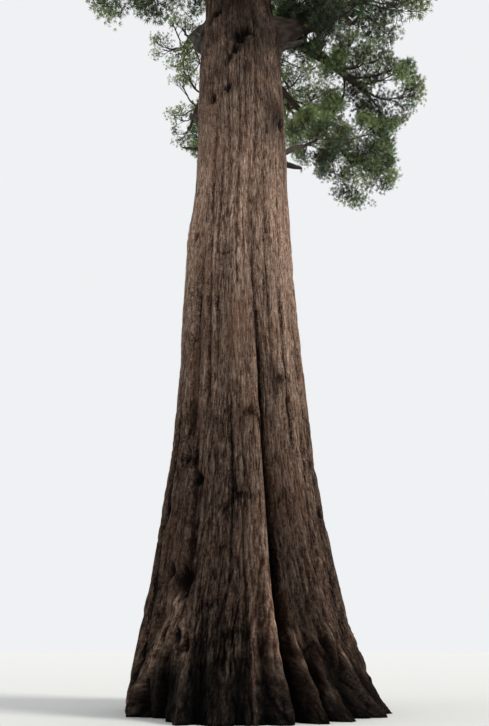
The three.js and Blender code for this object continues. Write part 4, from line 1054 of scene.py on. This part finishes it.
    # painted light on the thin masses, painted shade on the side growth of bough lower 1
    light = light + (0.22 if (tier, number) in THIN else 0.0) - 0.4 * shaded
    light = light + rng.uniform(-0.26, 0.26, n2)[parent2[clear]]
    colour = np.clip(np.searchsorted([0.38, 0.55, 0.72, 0.90], light), 0, 4)
    colour = np.where(rng.random(n3) < 0.03, 5, colour)
    return (p1, r1), (p2, r2), (p3, r3), (spot, aim, spray, colour, rng.integers(0, 8, n3), rng.uniform(0, TAU, n3))


def leaves_of(found, shapes):
    """Joined sprays of all tufts: points, faces and the colour of each face."""
    spot, aim, spray, colour, kind, roll = found
    helper = np.where(np.abs(aim[:, 2:3]) < 0.9, np.array([[0, 0, 1.0]]), np.array([[1.0, 0, 0]]))
    x = unit(np.cross(helper, aim))
    y = np.cross(aim, x)
    cx, cy = np.cos(roll)[:, None], np.sin(roll)[:, None]
    x, y = x * cx + y * cy, y * cx - x * cy
    turned = np.stack([x, y, aim], 1)
    shape = shapes[kind]
    n, leaves = shape.shape[0], shape.shape[1]
    points = spot[:, None] + spray[:, None, None] * (shape.reshape(n, leaves * 7, 3) @ turned)
    base = 7 * np.arange(n * leaves)[:, None]
    faces = np.stack([base + [0, 1, 4], base + [1, 2, 5], base + [2, 3, 6]], 1).reshape(-1, 3)
    return points.reshape(-1, 3), faces, np.repeat(colour, leaves * 3)


def build_crown(paths):
    shapes = {n: tuft_shapes(8, n, 77 + n) for n in {f[3] for f in FILL.values()}}
    tiers = {}
    for row in MASSES:
        key = row[0] if row[0] != "top" else "head"
        if row[0] != "head" and row[0] != "top":
            key += "_a" if row[1] < {"hanging": 3, "upper": 4}.get(row[0], 5) else "_b"
        branches, twigs, leaves, nodes = tiers.setdefault(key, (Heap(), Heap(), Heap(), []))
        one, two, three, found = grow(row, paths[row[:2]])
        three = three[0][:, ::2], three[1][:, ::2]
        for (p, r), sides, heap in ((one, 6, branches), (two, 4, branches), (three, 3, twigs)):
            points, faces = tubes(p, r, sides)
            heap.add(points, faces, furrow=np.full(len(points), 0.3))
        points, faces, colour = leaves_of(found, shapes[FILL[row[0]][3]])
        leaves.add(points, faces, colour)
        nodes.append("foliage_top" if row[0] == "top" else "foliage_%s_%d" % row[:2])
    for key, (branches, twigs, leaves, nodes) in tiers.items():
        hand_over(branches.piece("branches_" + key, [SHADED_BOUGH_BARK]), nodes)
        hand_over(twigs.piece("twigs_" + key, [TWIG_BARK]), nodes)
        hand_over(leaves.piece("leaves_" + key, GREENS_SHADED_TO_LIT, shade=False), nodes)


build_trunk()
limb_paths = build_limbs()
build_stubs()
build_crown(limb_paths)


# ---------------------------------------------------------------- floor, light and camera
def build_stage():
    n, radius = 96, 900.0
    a = TAU * np.arange(n) / n
    points = np.concatenate([[[0, 0, -0.01]], np.stack([radius * np.cos(a), radius * np.sin(a), np.full(n, -0.01)], -1)])
    j = np.arange(n)
    faces = np.stack([np.zeros(n, int), j + 1, np.roll(j, -1) + 1], -1)
    m = Nodes("pale_floor")
    m.shader.inputs["Base Color"].default_value = (0.62, 0.62, 0.60, 1)
    m.shader.inputs["Roughness"].default_value = 0.95
    floor = new_mesh("floor", points, faces, [m.material], shade=False)


def sun(name, azimuth, elevation, strength, angle, colour):
    light = bpy.data.lights.new(name, "SUN")
    light.energy, light.angle, light.color = strength, math.radians(angle), colour
    ob = bpy.data.objects.new(name, light)
    bpy.context.scene.collection.objects.link(ob)
    ob.rotation_euler = (math.radians(90 - elevation), 0, math.radians(azimuth + 90))


build_stage()
world = bpy.data.worlds.new("pale_studio")
bpy.context.scene.world = world
world.use_nodes = True
background = world.node_tree.nodes["Background"]
background.inputs["Color"].default_value = (0.96, 0.98, 1.0, 1)
background.inputs["Strength"].default_value = 0.9
sun("key", 338, 42, 2.3, 16, (1.0, 0.97, 0.93))
sun("fill", 190, 35, 0.35, 40, (0.93, 0.97, 1.0))

camera = bpy.data.cameras.new("camera")
camera.lens, camera.sensor_width, camera.sensor_fit = 28.0, 36.0, "AUTO"
camera.clip_start, camera.clip_end = 0.05, 2000.0
camera_object = bpy.data.objects.new("camera", camera)
camera_object.location = (0.0, -11.265, 0.907)
camera_object.rotation_euler = (math.radians(117), 0.0, math.radians(-0.35))
bpy.context.scene.collection.objects.link(camera_object)
bpy.context.scene.camera = camera_object
bpy.context.scene.view_settings.view_transform = "Standard"
